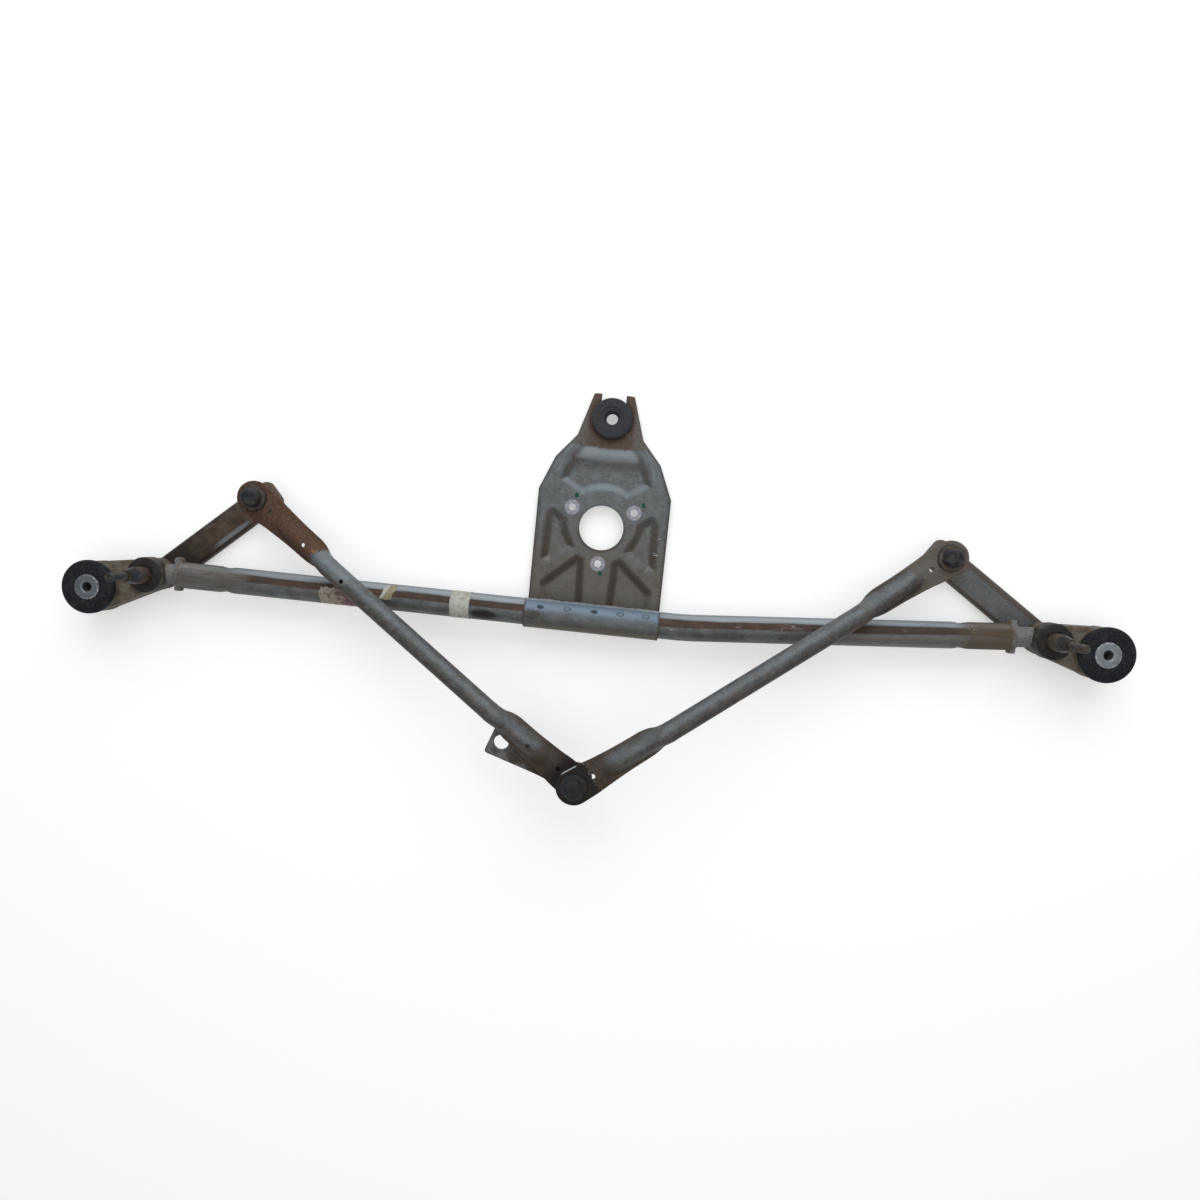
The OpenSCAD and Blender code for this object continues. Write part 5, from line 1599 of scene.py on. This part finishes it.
def crank_finish():
    """Pressed crank: lilac grey at its free end, olive and brown dirt towards the pin, with pale specks."""
    tint = colours()
    finish = Finish("crank_steel")
    reach = finish.distance(CRANK_PIN.x, CRANK_PIN.y)
    coat, speck = cloudy(finish, blend(tint.zinc, tint.seat, 0.12), tint.zinc_dark, 6)
    blots = finish.noise(9, 4)
    fine = finish.noise(2.0, 3)
    coat = finish.mix(finish.step(fine, 0.54, 0.7) * 0.5, coat, tint.zinc_dark)
    soiled = finish.mix(finish.step(fine, 0.42, 0.62), tint.dark_dirt_and_shade, blend(tint.mud, tint.dark_dirt_and_shade, 0.85))
    ragged = reach + (blots - 0.5) * 26.0 + (fine - 0.5) * 8.0
    coat = finish.mix(finish.drop(ragged, 62, 70) * 0.9, coat, soiled)
    pale = finish.drop(finish.distance(-50, -226.8, (1.0, 1.4)) + (fine - 0.5) * 9.0, 4, 8)
    coat = finish.mix(pale * finish.step(fine, 0.42, 0.56) * 0.5, coat, tint.zinc_light)
    greased = finish.drop(ragged, 24, 52)
    coat = finish.mix(greased * 0.75, coat, tint.grease)
    return finish.finish(coat, 0.44 + 0.2 * fine, 0.45 - 0.4 * finish.drop(ragged, 62, 70), speck + fine, 0.15)


class LINKAGE_OT_crank(Operator):
    """Finishes the motor crank and its double ball pin"""
    bl_idname = "linkage.crank"
    bl_label = "Crank"

    def execute(self, context):
        tint = colours()
        soften("crank_arm", crank_finish(), 0.6)
        soften("crank_pin", plain_metal("pin_steel", tint.zinc_light, tint.zinc, 0.8), 0.2)
        return {"FINISHED"}


# Paper scraps on the tube


def paper_scrap(name, start, end, slant, from_angle, to_angle, tear, material):
    """A torn scrap that lies round the front of the tube; its lower end is shifted back by the slant."""
    bm = bmesh.new()
    radius = mm(shapes().tube_d) / 2 + mm(shapes().paper_t)
    count = max(int((end - start) / 0.8), 8)
    turns = 40
    rings = []
    for n in range(turns + 1):
        share = n / turns
        row = []
        for k in range(count + 1):
            way = k / count
            ragged = tear * (0.6 * math.sin(11 * share + 1) + 0.4 * math.sin(29 * share + 2 * start))
            along = start + (end - start) * way + ragged * (2 * way - 1) - slant * (1 - share)
            curl = tear * 0.05 * (math.sin(along * 0.9) + 0.6 * math.sin(along * 2.3 + 1))
            angle = math.radians(from_angle + (to_angle - from_angle) * share) + curl * (2 * share - 1)
            row.append(tube_point(along, angle, radius + 0.12 * math.sin(7 * way) * math.sin(9 * share)))
        rings.append(row)
    sweep(bm, rings, closed=False)
    bmesh.ops.recalc_face_normals(bm, faces=bm.faces[:])
    face = bm.faces[len(bm.faces) // 2]
    if face.normal.dot(face.calc_center_median() - tube_axis((start + end) / 2)[0]) < 0:
        bmesh.ops.reverse_faces(bm, faces=bm.faces[:])
    bmesh.ops.solidify(bm, geom=bm.faces[:], thickness=mm(shapes().paper_t))
    return finish_piece(name, bm, "frame", material)


def label_finish():
    """Crinkled label stock: beige at its free end, dull red under the rod, painted shade in its folds, a painted
    highlight along its upper edge, white where torn.
    """
    tint = colours()
    finish = Finish("label_stock")
    fold = finish.noise(5, 4, twist=0.8)
    blots = finish.noise(9, 4)
    fibre = finish.noise(1.1, 4)
    printed = finish.step(finish.part(0) + (blots - 0.5) * 70.0, -246, -222)
    silver = blend(blend(tint.tape, tint.paper, 0.35), tint.label, 0.25)
    sheet = finish.mix(printed * 0.85, silver, tint.label)
    # Painted shade in the folds
    sheet = finish.mix(finish.step(fold, 0.48, 0.62) * 0.75, sheet, blend(tint.dark_dirt_and_shade, tint.label, 0.25))
    # Painted highlight along the upper edge, and white specks where the paper is torn
    edge = finish.step(finish.part(1) + (fold - 0.5) * 14.0, -85, -81)
    sheet = finish.mix((edge * finish.step(fibre, 0.48, 0.58)).most(finish.step(fibre, 0.6, 0.68)) * 0.7, sheet, tint.paper)
    return finish.finish(sheet, 0.4 + 0.3 * fibre, 0.0, fold + fibre * 0.4, 0.5)


def paper_finish(name, base, stain, share):
    """Old paper or tape, stained and rubbed through."""
    tint = colours()
    finish = Finish(name)
    fibre = finish.noise(1.2, 4)
    blots = finish.noise(5, 4)
    sheet = finish.mix(finish.step(blots, 0.4, 0.66) * share, base, stain)
    sheet = finish.mix(finish.step(fibre, 0.56, 0.7) * 0.4, sheet, tint.mud)
    return finish.finish(sheet, 0.75 + 0.15 * fibre, 0.0, fibre + blots * 0.5, 0.15)


def tape_finish():
    """Yellowed tape, white along its torn left edge."""
    tint = colours()
    finish = Finish("tab_tape")
    fibre = finish.noise(1.2, 4)
    blots = finish.noise(5, 4)
    sheet = finish.mix(finish.step(blots, 0.4, 0.66) * 0.45, tint.tape, tint.mud)
    edge = finish.dot((-196, -79, 0), (0.92, -0.39, 0)) + (fibre - 0.5) * 4.0
    sheet = finish.mix(finish.drop(edge, 2.0, 3.6) * 0.9, sheet, tint.paper)
    return finish.finish(sheet, 0.6 + 0.15 * fibre, 0.0, fibre + blots * 0.5, 0.15)


class LINKAGE_OT_paper(Operator):
    """Builds the paper band and the torn scraps stuck to the tube"""
    bl_idname = "linkage.paper"
    bl_label = "Paper scraps"

    def execute(self, context):
        tint = colours()
        paper_scrap("paper_band", -132.6, -114.4, 0.0, -150, 165, 0.2,
                    paper_finish("band_paper", tint.paper, tint.dust, 0.35))
        paper_scrap("torn_label", -256, -206, 0.0, -74, 18, 1.2, label_finish())
        paper_scrap("tape_tab", -193.4, -182.7, 5.6, -8, 66, 0.5, tape_finish())
        return {"FINISHED"}


# Stage


def floor_material(level):
    """Pale floor: lit and shadowed as any surface, and lifted to white for what looks at it."""
    stage = bpy.context.scene.linkage_stage
    finish = Finish("studio_floor")
    ray = [finish.node("ShaderNodeLightPath", output=name)
           for name in ("Is Camera Ray", "Is Glossy Ray", "Is Transmission Ray")]
    seen = ray[0].most(ray[1]).most(ray[2])
    finish.shader.inputs["Base Color"].default_value = (*stage.floor, 1.0)
    finish.shader.inputs["Roughness"].default_value = 0.9
    finish.shader.inputs["Specular IOR Level"].default_value = 0.0
    finish.shader.inputs["Emission Strength"].default_value = level
    finish.feed(finish.shader.inputs["Emission Color"], finish.mix(seen, (0.0, 0.0, 0.0), (1.0, 1.0, 1.0)))
    return finish.material


def add_lamp(name, place, aim, size, power, tint):
    lamp = bpy.data.lights.new(name, "AREA")
    lamp.shape = "RECTANGLE"
    lamp.size, lamp.size_y = size
    lamp.energy = power
    lamp.color = tint
    holder = bpy.data.objects.new(name, lamp)
    holder.location = place
    holder.rotation_euler = (Vector(aim) - Vector(place)).to_track_quat("-Z", "Y").to_euler()
    bpy.context.scene.collection.objects.link(holder)


class LINKAGE_OT_stage(Operator):
    """Sets the floor, the lamps, the world and the camera"""
    bl_idname = "linkage.stage"
    bl_label = "Stage"

    def execute(self, context):
        scene = context.scene
        stage = scene.linkage_stage
        bm = bmesh.new()
        bmesh.ops.create_grid(bm, x_segments=2, y_segments=2, size=6.0,
                              matrix=Matrix.Translation((0, 0, cad_low.z - 0.0002)))
        mesh = bpy.data.meshes.new("studio_floor")
        bm.to_mesh(mesh)
        bm.free()
        mesh.materials.append(floor_material(stage.floor_lift))
        floor = bpy.data.objects.new("studio_floor", mesh)
        scene.collection.objects.link(floor)
        add_lamp("sky_lamp", (0.05, 1.3, 1.1), (0, 0, 0), (2.2, 1.4), stage.sky_power, (0.9, 0.96, 1.0))
        add_lamp("top_lamp", (0.0, -0.15, 1.6), (0, 0, 0), (2.0, 2.0), stage.top_power, (1.0, 0.98, 0.95))
        world = bpy.data.worlds.new("studio_world")
        world.use_nodes = True
        background = world.node_tree.nodes["Background"]
        background.inputs["Color"].default_value = (1.0, 0.985, 0.96, 1.0)
        background.inputs["Strength"].default_value = stage.world_level
        scene.world = world
        camera = bpy.data.cameras.new("photo_camera")
        camera.sensor_width = 36.0
        camera.sensor_fit = "HORIZONTAL"
        camera.lens = stage.lens
        camera.clip_start = 0.01
        camera.clip_end = 50.0
        holder = bpy.data.objects.new("photo_camera", camera)
        holder.location = stage.camera_place
        holder.rotation_euler = Euler(stage.camera_turn, "XYZ")
        scene.collection.objects.link(holder)
        scene.camera = holder
        scene.view_settings.view_transform = "Standard"
        return {"FINISHED"}


PIECES = [LINKAGE_OT_tube, LINKAGE_OT_motor_plate, LINKAGE_OT_mounts, LINKAGE_OT_housings,
          LINKAGE_OT_caps_and_bushes, LINKAGE_OT_spindles, LINKAGE_OT_levers, LINKAGE_OT_rods,
          LINKAGE_OT_ball_joints, LINKAGE_OT_crank, LINKAGE_OT_paper, LINKAGE_OT_stage]


class LINKAGE_PT_panel(Panel):
    """Lists the pieces of the linkage and their settings"""
    bl_label = "Wiper linkage"
    bl_idname = "LINKAGE_PT_panel"
    bl_space_type = "VIEW_3D"
    bl_region_type = "UI"
    bl_category = "Wiper linkage"

    def draw(self, context):
        for piece in PIECES:
            self.layout.operator(piece.bl_idname)
        for group in (context.scene.linkage_shapes, context.scene.linkage_colours, context.scene.linkage_stage):
            box = self.layout.box()
            for name in group.__annotations__:
                box.prop(group, name)


CLASSES = [LinkageShapes, LinkageColours, LinkageStage, *PIECES, LINKAGE_PT_panel]


def register():
    for kind in CLASSES:
        bpy.utils.register_class(kind)
    bpy.types.Scene.linkage_shapes = PointerProperty(type=LinkageShapes)
    bpy.types.Scene.linkage_colours = PointerProperty(type=LinkageColours)
    bpy.types.Scene.linkage_stage = PointerProperty(type=LinkageStage)


def unregister():
    del bpy.types.Scene.linkage_stage
    del bpy.types.Scene.linkage_colours
    del bpy.types.Scene.linkage_shapes
    for kind in reversed(CLASSES):
        bpy.utils.unregister_class(kind)


def main():
    register()
    bpy.ops.linkage.tube()
    bpy.ops.linkage.motor_plate()
    bpy.ops.linkage.mounts()
    bpy.ops.linkage.housings()
    bpy.ops.linkage.caps_and_bushes()
    bpy.ops.linkage.spindles()
    bpy.ops.linkage.levers()
    bpy.ops.linkage.rods()
    bpy.ops.linkage.ball_joints()
    bpy.ops.linkage.crank()
    bpy.ops.linkage.paper()
    bpy.ops.linkage.stage()


if __name__ == "__main__":
    main()
